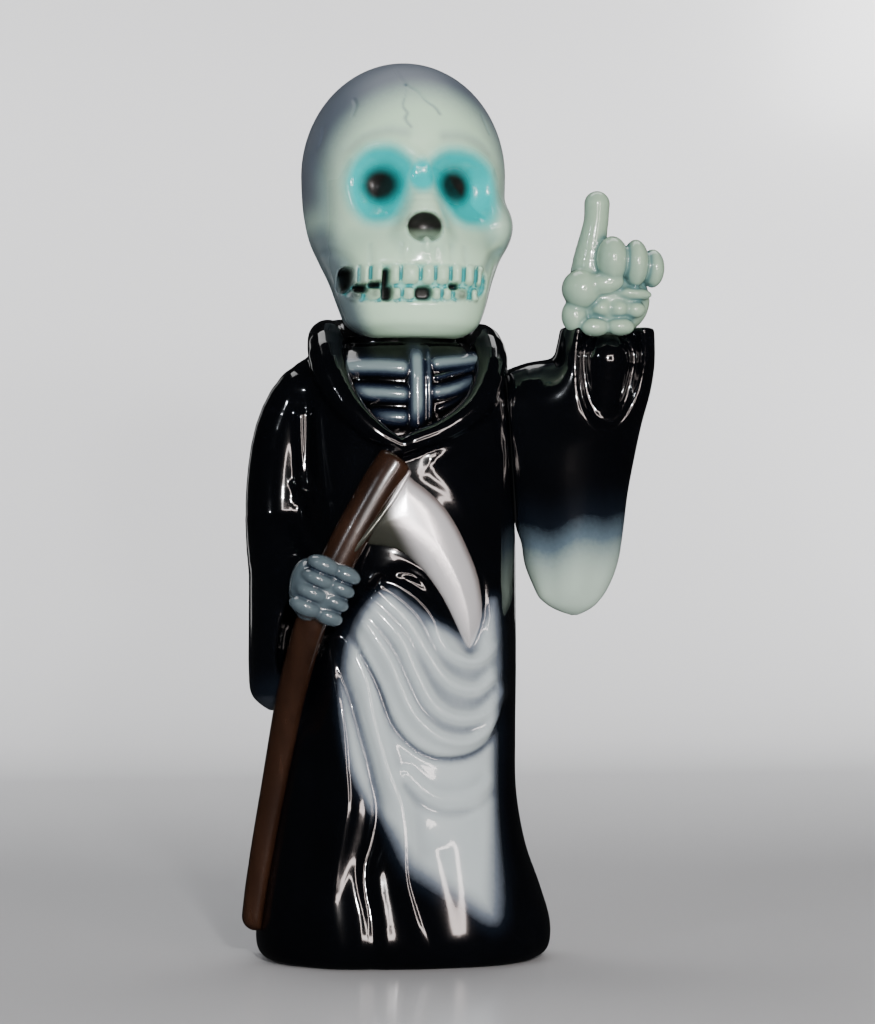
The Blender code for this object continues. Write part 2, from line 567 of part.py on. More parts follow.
def make_head(pieces, helpers, neck_floor):
    head = skull_loft("skull_head", pieces)
    combine(head, "UNION", skull_masses(helpers), helpers)
    cuts = [ball("nose_hole", *NOSE_HOLE, helpers)]
    for side in (-1, 1):
        for name, (middle, sizes) in (("socket", EYE_SOCKET), ("pit", EYE_PIT)):
            there = (side * middle[0], *middle[1:])
            cuts.append(ball(f"{name}_{side}", there, sizes, helpers, segments=14, rings=8))
    groove_path = []
    for step in range(GROOVE_STEPS + 1):
        turn = math.radians(GROOVE_HALF_ANGLE * (2 * step / GROOVE_STEPS - 1))
        groove_path.append((ARCH_HALF_WIDTH * math.sin(turn), ARCH_CENTRE_Y - 1.6 - ARCH_DEPTH * math.cos(turn),
                            MOUTH_HEIGHT, GROOVE_RADIUS))
    cuts.append(limb("mouth_groove", groove_path, helpers, 1, 1))
    combine(head, "DIFFERENCE", cuts, helpers)
    teeth = [tooth for row in TOOTH_ROWS for tooth in tooth_row(*row, helpers)]
    neck = post("neck", (0, 0, neck_floor), (0, 0, NECK_TOP * UNIT), NECK_RADIUS, helpers)
    combine(head, "UNION", [*teeth, neck], helpers)
    return head


def make_raised_arm(pieces, helpers, arm_face):
    arm = sleeve_loft("raised_arm", LEFT_SLEEVE, pieces, 20, 1)
    upper_arm = [limb("upper_arm", UPPER_ARM, helpers, 1), ball("arm_drape", *UPPER_ARM_DRAPE, helpers)]
    combine(arm, "UNION", upper_arm, helpers)
    combine(arm, "DIFFERENCE", [ball("left_opening", *LEFT_SLEEVE_OPENING, helpers)], helpers)
    hand = [ball(f"hand_{k}", *sizes, helpers, tilt, 9, 5) for k, (*sizes, tilt) in enumerate(LEFT_HAND)]
    fingers = [limb("forefinger", FOREFINGER, helpers, 1, 2), limb("forearm", LEFT_FOREARM, helpers, 1, 3)]
    combine(arm, "UNION", [*hand, *fingers], helpers)
    clear_of_robe = robe_loft("robe_clearance", helpers, SEAT_CLEARANCE / UNIT + ROBE_GAP)
    collar_gap = SEAT_CLEARANCE / UNIT + COLLAR_GAP
    collar_clearance = limb("collar_clearance", [(*row[:3], row[3] + collar_gap) for row in COLLAR], helpers)
    combine(arm, "DIFFERENCE", [clear_of_robe, collar_clearance], helpers)
    root = post("arm_root", (arm_face, 0, ARM_ROOT_HEIGHT * UNIT),
                (ARM_ROOT_END * UNIT, 0, ARM_ROOT_HEIGHT * UNIT), ARM_ROOT_RADIUS, helpers)
    combine(arm, "UNION", [root], helpers)
    return arm


def main():
    pieces, helpers = start_scene()
    neck_floor = SHOULDER_TOP * UNIT - NECK_SEAT_DEPTH
    shoulder_side = robe_point(0.0, ARM_ROOT_HEIGHT).x * UNIT
    arm_face = shoulder_side - ARM_SEAT_DEPTH
    robe = gloss_material("black_gloss", BODY_COLOUR)
    bone = gloss_material("bone_gloss", BONE_COLOUR)
    for piece, material in (
        (make_body(pieces, helpers, neck_floor, arm_face), robe),
        (make_head(pieces, helpers, neck_floor), bone),
        (make_raised_arm(pieces, helpers, arm_face), robe),
    ):
        piece.data.materials.append(material)


main()
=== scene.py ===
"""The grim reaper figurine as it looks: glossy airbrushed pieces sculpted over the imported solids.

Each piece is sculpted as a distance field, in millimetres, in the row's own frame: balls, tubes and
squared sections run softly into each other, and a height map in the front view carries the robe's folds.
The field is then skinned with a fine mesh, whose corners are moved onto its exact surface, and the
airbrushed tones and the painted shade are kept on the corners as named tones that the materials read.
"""

import math
from concurrent.futures import ThreadPoolExecutor

import bpy
import numpy as np
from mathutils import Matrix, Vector


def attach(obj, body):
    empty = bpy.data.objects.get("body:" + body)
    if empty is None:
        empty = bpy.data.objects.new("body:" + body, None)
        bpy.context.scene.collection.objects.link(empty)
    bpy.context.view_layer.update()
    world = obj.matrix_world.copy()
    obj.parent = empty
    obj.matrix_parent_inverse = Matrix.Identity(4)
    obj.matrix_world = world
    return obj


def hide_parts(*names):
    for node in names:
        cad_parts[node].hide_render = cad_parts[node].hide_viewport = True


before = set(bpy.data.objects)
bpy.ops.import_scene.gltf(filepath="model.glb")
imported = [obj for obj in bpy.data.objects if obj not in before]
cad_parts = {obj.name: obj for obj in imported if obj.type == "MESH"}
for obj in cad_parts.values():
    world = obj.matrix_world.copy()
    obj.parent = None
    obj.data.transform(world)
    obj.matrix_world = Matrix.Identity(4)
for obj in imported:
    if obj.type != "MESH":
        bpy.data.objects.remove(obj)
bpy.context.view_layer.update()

# Metres in a millimetre, and a distance past the whole figure
MM = 0.001
FAR = 1e3


def smooth_rows(rows, steps=4):
    """A Catmull-Rom curve through rows of numbers."""
    rows = np.asarray(rows, float)
    rows = np.vstack([2 * rows[0] - rows[1], rows, 2 * rows[-1] - rows[-2]])
    t = (np.arange(steps) / steps)[:, None]
    made = []
    for a, b, c, d in zip(rows, rows[1:], rows[2:], rows[3:], strict=False):
        made.append(0.5 * (2 * b + (c - a) * t + (2 * a - 5 * b + 4 * c - d) * t**2
                           + (3 * b - a - 3 * c + d) * t**3))
    return np.vstack([*made, rows[-2:-1]]).astype(np.float32)


# The robe: height, half width, half depth and middle of its sections
ROBE_SECTIONS = smooth_rows((
    (0, 35.4, 26.4, -0.8, 0),
    (1.6, 38, 28.8, -0.7, 0),
    (5, 39.3, 30, -0.6, 0),
    (11, 39.1, 29.8, -0.6, 0),
    (20, 37.2, 28.4, -1.4, 0),
    (31, 34.6, 26.6, -2.6, 0),
    (45, 32.5, 25.5, -2.9, 0),
    (60, 31.6, 24.9, -2.2, 0),
    (78, 30.7, 24.4, -1.1, 0),
    (96, 30, 24, -0.5, 0),
    (115, 29.6, 23.7, -0.3, 0),
    (135, 28.6, 23.3, -0.3, 0),
    (150, 27.6, 23, -0.4, 0),
    (157, 26.4, 22.2, -0.5, 0),
    (161.5, 24.2, 20.2, -0.5, 0),
    (164, 20, 16.8, -0.5, 0),
), 6)
ROBE_SQUARENESS = 2.3
OVAL = 2.0

# Folds of the robe's front as (x, z) lines, each with its height and half width
FOLDS = (
    # The two long folds of the skirt and the deep valley between them
    (((-16.6, 81.4), (-14.3, 74.5), (-12.7, 63.8), (-9.2, 52.4), (-5.4, 43.9), (-4, 33.2), (-4, 24),
      (-1.9, 16.3), (1.5, 6)), 2, 3),
    (((-21.2, 84), (-20.9, 77.6), (-20.6, 68.4), (-20.1, 56.2), (-19.3, 44), (-20.7, 34.9),
      (-23.4, 22.7), (-24.1, 18.2), (-23.4, 10.5), (-22.2, 2)), 1.9, 3),
    (((-21, 83.7), (-19.6, 76.1), (-17, 68.4), (-13.7, 57.7), (-11.8, 48.6), (-10.9, 40.9),
      (-12.2, 33.3), (-14, 27.2), (-14.1, 21.1), (-12.8, 13), (-12.4, 0)), -2, 2),
    (((-27.5, 74), (-27, 45), (-29.5, 20), (-30, 2)), -1.2, 3),
    (((-8, 24), (-7.4, 12), (-6, 1)), -0.8, 3.2),
    # The gathered overskirt's crescent folds
    (((-15, 90.8), (-12.6, 87.6), (-8.1, 80.2), (-5, 72.9), (-1.2, 65.8), (5, 60.6), (12, 59.2),
      (17.2, 61.4), (21.5, 66)), 2.2, 2),
    (((-13.4, 95), (-11.2, 92.9), (-5.2, 86), (-1.2, 77.5), (2.9, 69.8), (8.1, 66), (14.3, 65.4),
      (18.6, 67.6), (22.5, 72)), 2.4, 2),
    (((-11.6, 98.6), (-8.9, 96.4), (-3.2, 90.6), (1.7, 82.6), (5.8, 76.6), (10.5, 73.6), (15.5, 73),
      (20, 76)), 2.2, 1.9),
    (((-9.6, 101.4), (-6, 100), (-1.2, 96.8), (3.2, 91.6), (5.6, 85.2), (9.5, 81.6), (15.9, 80.6),
      (20.5, 84)), 1.9, 1.9),
    (((-6, 103.6), (0, 102.4), (5.4, 98.2), (9, 92), (12.6, 87.6)), 1, 1.5),
    (((-3.5, 51.5), (1.2, 46.6), (7.3, 44.2), (15.1, 45.2), (19.8, 48.8)), 0.8, 1.8),
    (((-4, 47.6), (1.4, 42.6), (8, 40.4), (16, 41.6), (20.6, 45)), -0.5, 1.4),
    # The right side's long valley, which makes the trailing lobe of the hem
    (((23, 66), (23.2, 47.6), (24, 36), (24.9, 24.4), (27.6, 15.1), (31.4, 8.1), (34, 0)), -1.6, 2.3),
    (((16.4, 40), (17.6, 30), (19.6, 16), (21.4, 2)), 0.8, 4.4),
    (((4.6, 30), (7.6, 14), (9, 1)), -0.7, 4.6),
    # The upper front: the lapels' outer folds, and the cloth that the blade pushes aside
    (((-25.6, 157), (-22.6, 148), (-17, 138.6)), 0.7, 1.3),
    (((-23.6, 160), (-20, 151), (-14.4, 141.6)), -0.6, 1.1),
    (((22.6, 150), (15.5, 142), (9.5, 136.4), (4, 133)), 0.55, 2.2),
    (((2.5, 129.6), (8.8, 126), (14, 119.4), (18, 111)), 0.3, 2.4),
    (((24, 134), (23, 118), (22.2, 100)), 0.6, 2.4),
    # The arm's long creases
    (((-29.6, 145), (-29.4, 134), (-29, 125.6)), 1.1, 1.3),
    (((-25.6, 146), (-24.8, 134), (-23.8, 124)), 0.8, 1.2),
)
# The small wrinkles in the crook of the arm: where the first one is, and how many follow it
ELBOW = (-31.5, 127)
ELBOW_WRINKLES = 6
WRINKLE_STEP = (1.5, -1.1)
WRINKLE_STAGGER = 1.6
WRINKLE_HEIGHT = 0.55
WRINKLE_WIDTH = 0.6
OVERSKIRT_EDGE = smooth_rows((
    (-17.6, 88), (-15, 83.4), (-10.4, 74.3), (-6.6, 64.8), (-1.9, 59), (4.2, 55.7), (12, 55.7),
    (18.2, 58.7), (21.5, 63.5), (25.5, 71),
))
OVERSKIRT_STEP = 1.5
OVERSKIRT_SLOPE = (-0.7, 0.9)
OVERSKIRT_GROOVE = 0.7
# What is left of the folds at the hem and under the blade, and where they are calmed
HEM_SHARE = 0.4
HEM_CALM = (4, 40)
BLADE_SHARE = 0.1
BLADE_CALM = (0, 3)
BACK_FOLDS = 9
BACK_FOLD_HEIGHT = 1.2
BACK_FOLDS_FADE = (150, 60)

# The lapels' edge round the open V, as (x, z) across the front
NECKLINE = smooth_rows((
    (-23.4, 171), (-22.6, 162.8), (-20.6, 157.2), (-17.5, 150.6), (-13.4, 144.8), (-8.2, 139.6),
    (-4.6, 138.6), (-0.4, 140.2), (7.2, 143.6), (13.7, 148.6), (18, 154.5), (20.6, 161.3), (21.4, 171),
))
CHEST_RECESS = 3.4

# Breastbone and ribs in the open V, as (x, z) lines, with height and half width
RIBS = (
    (((0.1, 164), (0.1, 142.4)), 1.7, 2.1),
    (((3.3, 163), (3.2, 144)), 1.1, 0.9),
    (((-19.6, 157.8), (-10, 157.8), (-3.9, 157.4)), 1.6, 2.5),
    (((-16.6, 150.9), (-10, 150.6), (-3.9, 150.2)), 1.5, 2.2),
    (((-11.4, 144.2), (-3.9, 144)), 1.4, 2.2),
    (((5.6, 158.6), (12, 159.4), (18.6, 160.4)), 1.5, 2.1),
    (((5.4, 154.6), (12, 156.4), (18.6, 158)), 0.9, 0.9),
    (((5.4, 150.8), (10, 151.8), (15.6, 153.8)), 1.4, 1.9),
    (((6, 146.4), (10.8, 148.6), (15.6, 151.4)), 0.8, 0.9),
)
RIB_FLOOR = 2.9
RIB_PLATE = 1.5
RIB_TOP = 166

# The rolled collar, as (x, y, z, radius) like all the tubes below
COLLAR = smooth_rows((
    (-5, -24.4, 136.8, 1.8), (-11.5, -22.8, 140.4, 2.9),
    (-18.4, -19.4, 147.8, 3.9), (-22.2, -13.6, 157.6, 4.9),
    (-21.6, -4, 164.6, 5.3), (-18.6, 8, 165.6, 5.4), (-10.6, 15.6, 166.6, 5.5), (0, 18.6, 167.2, 5.6),
    (10.6, 15.6, 166.4, 5.5), (18.4, 8, 165.2, 5.3), (20.4, -4, 164, 5.1), (20.6, -13.6, 157, 4.7),
    (16.2, -19.8, 147.8, 3.9), (7.8, -22.8, 141.4, 3.1), (-1.5, -24, 137.6, 2.6), (-9.5, -23, 134, 1.6),
), 3)
SHOULDER_TOP = 164.0
ARM_SOFT, SLEEVE_SOFT, HOOD_SOFT, COLLAR_SOFT = 3.5, 2.6, 5.0, 1.8
HEM_SOFT = 1.2
NECK_HOLLOW = ((0.6, -6, 172), (19.5, 21, 13))
HOOD = (((0, 17, 157), (19.5, 9, 11.5)), ((0, 20.5, 145), (13, 6.5, 14)))

RIGHT_ARM = smooth_rows((
    (-20, -1, 156, 6.4), (-27.5, -0.5, 150.5, 7.8), (-31.8, 0.5, 140, 8.8),
    (-33.4, 1, 126, 9.3), (-33.6, -1, 114, 9.2), (-32.8, -8, 106, 8.6),
    (-30.4, -15, 101, 7), (-28.4, -19, 98.8, 5.8),
), 3)
RIGHT_SLEEVE = smooth_rows((
    (67, 1.4, 2, -36.6, -4),
    (71, 5.3, 8, -36.6, -4.6),
    (78, 7.1, 11, -35.6, -5.4),
    (88, 8.1, 12.4, -34.6, -5.6),
    (99, 8.8, 12.2, -33.8, -5),
    (109, 9, 10.3, -33.4, -3),
    (116, 8.3, 8, -33.2, 0),
), 4)
RIGHT_CUFF, RIGHT_SLEEVE_TOP = 66.5, 116.0
RIGHT_SLEEVE_OPENING = ((-29.4, -17.5, 88), (6.4, 8.6, 15), (0, 14, 0))

SHAFT = smooth_rows((
    (-6.6, -26.2, 132, 4.4), (-10.2, -26.2, 126.6, 4.5), (-14.6, -26, 119, 4.4), (-19.2, -25.6, 110.6, 4.3),
    (-24.6, -24.6, 99.6, 4.1), (-28.4, -22.6, 89, 4), (-30.6, -19.4, 80, 3.9), (-32.6, -15.2, 70, 3.8),
    (-34.4, -11.4, 58, 3.6), (-36.4, -8.8, 45, 3.4), (-38.6, -7.2, 32, 3.2), (-40.6, -6, 19, 3),
    (-41.5, -5.4, 11.5, 2.9),
), 3)
BLADE_OUTLINE = ((-4.4, 128.6), (-1, 127.4), (5.2, 122.4), (9.4, 117), (12.8, 110.6), (16.4, 101.7),
                 (17.3, 92), (14.4, 84), (12.6, 84.3), (10.6, 88.2), (6.6, 96.4), (1.3, 103.8),
                 (-6, 109.6), (-15.6, 111.8), (-14.8, 120))
BLADE_THICKNESS = 2.4
BLADE_ROUNDING = 2.6
BLADE_LIFT = 0.5
BEAD = smooth_rows((
    (-3.2, -27.4, 129.6, 0.75), (-8, -28.6, 121.8, 0.75), (-13.6, -28.8, 114.4, 0.75),
    (-17.6, -28.2, 109.4, 0.7),
), 3)

RIGHT_HAND = (-24.8, -27.6, 98.8)
FINGER_PITCH = 3.9
FINGER_SPREAD = (3.4, 2.8)

# The skull: sections like the robe's, and the balls that swell or hollow it, as middle and half sizes
SKULL_SECTIONS = smooth_rows((
    (160, 10.5, 11, 0.6, -9),
    (166.2, 15.6, 16.4, 0.7, -9.4),
    (169, 17.8, 18.6, 0.3, -9.8),
    (174, 19.7, 20.4, 0.2, -9.4),
    (180, 21.6, 22.2, 0.1, -7.8),
    (186, 24, 25, 0.2, -4),
    (191.5, 25.8, 27.8, 0.3, 0.6),
    (197, 26.8, 29.4, 0.3, 3),
    (204, 27.3, 31, 0, 4.2),
    (218, 27.2, 31.2, 0, 4.6),
), 6)
SKULL_SQUARENESS = 2.15
SKULL_BASE = 165.3
CRANIUM_START = (196, 216)
CHEEK_SOFT, MUZZLE_SOFT, NOSE_SOFT, NOSE_EDGE = 5.0, 6.0, 3.0, 0.8
CRANIUM = ((0, 4.6, 209.6), (27.4, 31.5, 30.4))
CHEEK = ((22.4, -9, 195), (4.6, 11, 5.8))
MUZZLE = ((0.6, -20, 184), (17, 12, 9))
NOSE_CONE = smooth_rows(((0.8, -25.4, 203.6, 2.4), (0.8, -26.4, 197.6, 4.6), (0.6, -26.6, 191.6, 6.8)), 3)
NOSE_MIDDLE = (0.8, -26.4, 197.6)
NOSE_HOLE = ((0.6, -33.6, 193.4), (5.2, 6.6, 4.3))
NOSE_PEAK = ((0.9, -29.6, 188.6), (1.5, 3.6, 2.4))

# The face in the front view: the eye sockets' outlines and the dark middle of each
SOCKETS = (
    ((-18.1, 204.5), (-17.8, 208), (-16.3, 211.2), (-13, 214.1), (-7.9, 214.6), (-4.1, 212.6),
     (-1.6, 209.8), (-2.2, 206.4), (-3.2, 202.6), (-5.2, 197.8), (-7.8, 195.4), (-12, 195),
     (-14.8, 196.4), (-17, 199.7)),
    ((2, 209.6), (4.4, 212.2), (7.8, 213.8), (13, 213.7), (17.2, 212.2), (20.2, 209.4), (21.4, 205.4),
     (21.3, 200.6), (20.2, 196.4), (17.6, 194.8), (12.6, 194.7), (8.8, 196.8), (5.1, 201.6), (3, 205.4)),
)
SOCKET_DEPTH = 5.2
SOCKET_SLOPE = (0.8, -7.2)
SOCKET_RIM = 0.35
PUPIL_DEPTH, PUPIL_RADIUS = 0.9, 2.6
PUPILS = ((-9.6, 205), (10.1, 204.7))

# The mouth: a band recessed below the lips' line, teeth as (x, half width) in two rows, and the dark gaps
MOUTH = ((-19.4, 182.4), (-14, 183), (0, 183.3), (12, 182.9), (16.8, 181.6), (17.2, 177), (13, 174.9),
         (2, 174.2), (-8, 174.2), (-16, 174.8), (-19.4, 177.6))
UPPER_TEETH = ((-17, 1.1), (-14.5, 1.15), (-11.5, 1.45), (-7.3, 1.3), (-3.3, 2.2), (1.4, 1.6), (5.2, 1.75),
               (9.1, 1.4), (12.8, 1.4), (15.7, 0.9))
LOWER_TEETH = ((-16.4, 1.5), (-12.2, 1.8), (-6.9, 1.4), (-3.5, 1.4), (3.7, 1.2), (6.6, 1.2), (10.6, 1.9),
               (14.6, 1.1))
MOUTH_DEPTH, GAP_DEPTH = 1.3, 2.6
TOOTH_HEIGHT, TOOTH_ROUNDING = 3.2, 1.2
TOOTH_ROWS = ((UPPER_TEETH, 180.9, 2.5), (LOWER_TEETH, 176, 1.6))
GAPS = ((-18.6, 180.2, 1.4, 3), (-9.4, 179, 0.8, 3.4), (-8.9, 176.2, 1.2, 1.9), (0.4, 176.2, 2.1, 1.7),
        (-11.8, 178.4, 1.5, 0.8), (-15.2, 177.6, 1.6, 1), (8.4, 178, 1.2, 0.7))
DARK_TEETH = ((10.6, 176, 1.4), (-16.2, 176, 1.2), (-12, 176.2, 0.9))

# Lines drawn into the skull, as (x, z) lines with height, half width and strength of their grey paint
SKULL_LINES = (
    # Brows, with painted shadow above each
    (((-17.4, 212.6), (-13, 215.6), (-7.9, 216.2), (-3, 214), (0.2, 211.4)), 0.55, 1.3, 0),
    (((0.2, 211.4), (3.6, 213.8), (7.8, 215.5), (13.2, 215.4), (18, 213.6), (21.2, 210.4)), 0.55, 1.3, 0),
    (((-18, 214.4), (-14, 217.4), (-8, 218.8), (-3.6, 218.4)), -0.3, 1.5, 0.34),
    (((6.6, 217.6), (12, 217.8), (16.6, 216.4), (19.8, 214)), -0.3, 1.5, 0.34),
    # Cheek bones' lower edges and the corners of the jaw, with painted shade in their grooves
    (((-22.4, 187.6), (-19.6, 186.4), (-17.6, 183.8)), -0.6, 1.3, 0.30),
    (((22.6, 188.6), (19.8, 186.6), (17.8, 183.4)), -0.6, 1.3, 0.30),
    (((-25, 214), (-23, 206), (-22.6, 198), (-23.4, 192)), -0.5, 1.6, 0.20),
    # Roots of the teeth, from their x, top and foot, with faint painted shade in their grooves
    *((((x, top), (x, foot)), -0.25, 0.8, 0.08) for x, top, foot in (
        (-13, 188.6, 184.6), (-5.4, 188.4, 184.8), (3.2, 187.6, 184.8), (7.4, 188.4, 184.6),
        (11.2, 188, 184.2))),
    # Cracks in the crown
    (((-2.4, 231.6), (-3, 228.6), (-3.9, 225.6), (-2.9, 223.6), (-3.6, 222), (-2.2, 219.8)),
     -0.3, 0.32, 0.55),
    (((-2.4, 231.4), (0.4, 229.6), (2.2, 227.2), (4.6, 225.4), (5.8, 223.6)), -0.3, 0.32, 0.5),
    (((-4.2, 236.4), (-3.4, 233.8), (-2.4, 231.6)), -0.3, 0.32, 0.45),
    (((-15.6, 228), (-15.4, 226), (-16.4, 223.4)), -0.3, 0.32, 0.5),
    (((-23, 221), (-23.4, 218), (-24.4, 215.4)), -0.3, 0.4, 0.5),
    (((18.4, 224.6), (19.4, 222), (20.4, 219.6)), -0.3, 0.4, 0.4),
)

LEFT_SLEEVE = smooth_rows((
    (91.6, 2.4, 1.6, 45.4, -3.4),
    (95, 7.6, 4.6, 44.4, -3.4),
    (99.5, 10.4, 6.4, 44.6, -3.4),
    (106, 12.8, 7.8, 44.6, -3.6),
    (114, 13.9, 8.8, 44.8, -3.8),
    (124, 14.7, 9.7, 45.2, -4),
    (134, 15.3, 10.5, 46.4, -4.4),
    (143, 15.3, 11, 48.2, -5.2),
    (151, 14.9, 11, 50.6, -6.4),
    (158, 14, 10.4, 52.4, -7.8),
    (164, 13.3, 9.8, 53, -9),
    (168.6, 12.7, 9.4, 53.2, -9.8),
), 4)
LEFT_SLEEVE_TIP, LEFT_CUFF = 91.3, 168.6
SHOULDER_SOFT = 5.0
LEFT_SLEEVE_OPENING = ((53, -21, 159), (10.4, 11, 20.2))
SLEEVE_FOLDS = (
    (((45, 128), (44.6, 112), (44.4, 98)), 0.55, 2.6),
    (((38.4, 126), (37.8, 108), (38.6, 96)), -0.7, 2.2),
    (((34.6, 124), (34.4, 106)), 0.3, 2.4),
    (((52, 128), (51.4, 112), (49.4, 98)), -0.5, 2.6),
)
# Where the sleeve's paint turns from pale to black, as (x, z) across the front
SLEEVE_PAINT = smooth_rows((
    (28, 112.6), (33, 112), (38, 110.8), (44, 114.4), (49, 114.6), (52, 114), (56, 115.2), (62, 117),
))
LEFT_FOREARM = smooth_rows(((51.6, -9, 147, 5.8), (52.8, -10.2, 160, 7)), 3)
UPPER_ARM = smooth_rows(((31, -0.6, 147.6, 10.2), (36, -1.4, 147.8, 10.6), (44, -3.4, 147.6, 10.6)), 3)
UPPER_ARM_DRAPE = ((36.4, -2, 136), (13.5, 9.4, 23))

# The raised hand's knuckles and palm: each ball's middle, half sizes and turn
LEFT_HAND = (
    ((54, -11, 176), (10.4, 6.6, 9.6)),
    ((52.8, -18, 186.4), (4.3, 5.6, 6.1), (12, 0, -6)),
    ((59.2, -17.4, 185.4), (3.5, 5.4, 6.3), (12, 0, 0)),
    ((64.2, -15.6, 184.2), (3, 4.8, 5.1), (12, 0, 8)),
    ((45, -15.2, 178.6), (5.2, 5.4, 5.2), (0, 20, 0)),
    ((50.6, -17.6, 180), (5.4, 3.2, 2.9), (0, -8, -12)),
    ((58.8, -16.6, 177.4), (5, 2.6, 1.7), (0, 4, 0)),
    ((50.4, -16, 173.6), (2.6, 2.4, 2.2)),
    ((54.9, -16.6, 173.4), (2.6, 2.4, 2.2)),
    ((59.4, -16.2, 173.2), (2.8, 2.4, 2.2)),
    ((48.6, -15.8, 168.4), (3.8, 2.6, 2.5)),
    ((55.4, -16.2, 168.6), (3.8, 2.6, 2.4)),
    ((43.4, -13.6, 171.6), (3.4, 3.4, 4.4)),
)
HAND_FOOT = 164.0
FINGER_SOFT = 0.9
FOREFINGER = smooth_rows((
    (47.6, -11.5, 178, 5.6), (47.8, -12.4, 186, 4.5), (48.8, -13, 193, 3.6),
    (49.4, -13.4, 197, 3.3), (49.6, -13.6, 201.4, 3.4),
), 3)


# Soft forms

def smooth_step(value, low, high):
    t = np.clip((value - low) / (high - low), 0, 1)
    return t * t * (3 - 2 * t)


def bell(distance, width):
    """A soft bump: 1 in its middle, and almost 0 two widths away."""
    return np.exp(-((distance / width) ** 2))


def join(a, b, soft):
    """The union of two fields, with a soft inner corner of that size."""
    h = np.maximum(soft - np.abs(a - b), 0) / soft
    return np.minimum(a, b) - h * h * soft / 4


def carve(a, b, soft):
    """Field a with field b cut out of it, with a soft edge of that size."""
    return -join(-a, b, soft)


def both(a, b, soft):
    """What fields a and b share, with a soft edge of that size."""
    return -join(-a, -b, soft)


def rotation(turn):
    """The matrix of turns in degrees about X, then Y, then Z."""
    made = np.eye(3)
    for axis, angle in enumerate(turn):
        c, s = math.cos(math.radians(angle)), math.sin(math.radians(angle))
        i, j = (axis + 1) % 3, (axis + 2) % 3
        step = np.eye(3)
        step[i, i], step[i, j], step[j, i], step[j, j] = c, -s, s, c
        made = step @ made
    return made.astype(np.float32)


def ball(p, middle, sizes, turn=(0, 0, 0)):
    """The field of an ellipsoid."""
    q = p - np.array(middle, np.float32)[:, None]
    if any(turn):
        q = rotation(turn).T @ q
    sizes = np.array(sizes, np.float32)[:, None]
    q = q / sizes
    k0 = np.sqrt((q * q).sum(0))
    q /= sizes
    return k0 * (k0 - 1) / np.maximum(np.sqrt((q * q).sum(0)), 1e-6)


def tube(p, rows):
    """The field of a round tube through (x, y, z, radius) rows."""
    best = np.full(p.shape[1], FAR, np.float32)
    for a, b in zip(rows, rows[1:], strict=False):
        along = b[:3] - a[:3]
        q = p - a[:3, None]
        t = np.clip((along @ q) / (along @ along), 0, 1)
        q -= along[:, None] * t
        np.minimum(best, np.sqrt((q * q).sum(0)) - (a[3] + (b[3] - a[3]) * t), out=best)
    return best


def squared_loft(p, rows, power):
    """The field of squared ovals stacked up Z, from rows of height, half width, half depth, x and y."""
    half_width, half_depth, x, y = (
        np.interp(p[2], rows[:, 0], column).astype(np.float32) for column in rows.T[1:])
    across, along = np.abs(p[0] - x) / half_width, np.abs(p[1] - y) / half_depth
    share = np.maximum((across**power + along**power) ** (1 / power), 0.05)
    slope = share ** (1 - power) * np.hypot(
        across ** (power - 1) / half_width, along ** (power - 1) / half_depth)
    return (share - 1) / np.maximum(slope, 1e-3)


def near(p, field, shape, middle, reach, soft, mix=join):
    """Mixes a small shape into a field, worked out only close to the shape's middle."""
    q = p - np.array(middle, np.float32)[:, None]
    here = np.nonzero((q * q).sum(0) < reach * reach)[0]
    if len(here):
        field[here] = mix(field[here], shape(p[:, here]), soft)
    return field


def near_ball(p, field, middle, sizes, soft, mix=join):
    reach = max(sizes) + 2 * soft + 1.0
    return near(p, field, lambda q: ball(q, middle, sizes), middle, reach, soft, mix)


# Height maps in the front view

def line_distance(line, x, z):
    """The distance of each point of the front view from an (x, z) line."""
    best = np.full(x.shape, FAR)
    for (x0, z0), (x1, z1) in zip(line, line[1:], strict=False):
        dx, dz = x1 - x0, z1 - z0
        t = np.clip(((x - x0) * dx + (z - z0) * dz) / (dx * dx + dz * dz), 0, 1)
        np.minimum(best, np.hypot(x - x0 - dx * t, z - z0 - dz * t), out=best)
    return best


def closed_curve(points, steps=3):
    """A smooth closed curve through points, which ends where it starts."""
    turned = (points[-1], *points, points[0], points[1])
    return smooth_rows(turned, steps)[steps:-steps]


def blur(values, passes):
    """A light blur of a map, which rounds its creases."""
    for _ in range(passes):
        for axis in (0, 1):
            values = (np.roll(values, 1, axis) + 2 * values + np.roll(values, -1, axis)) / 4
    return values


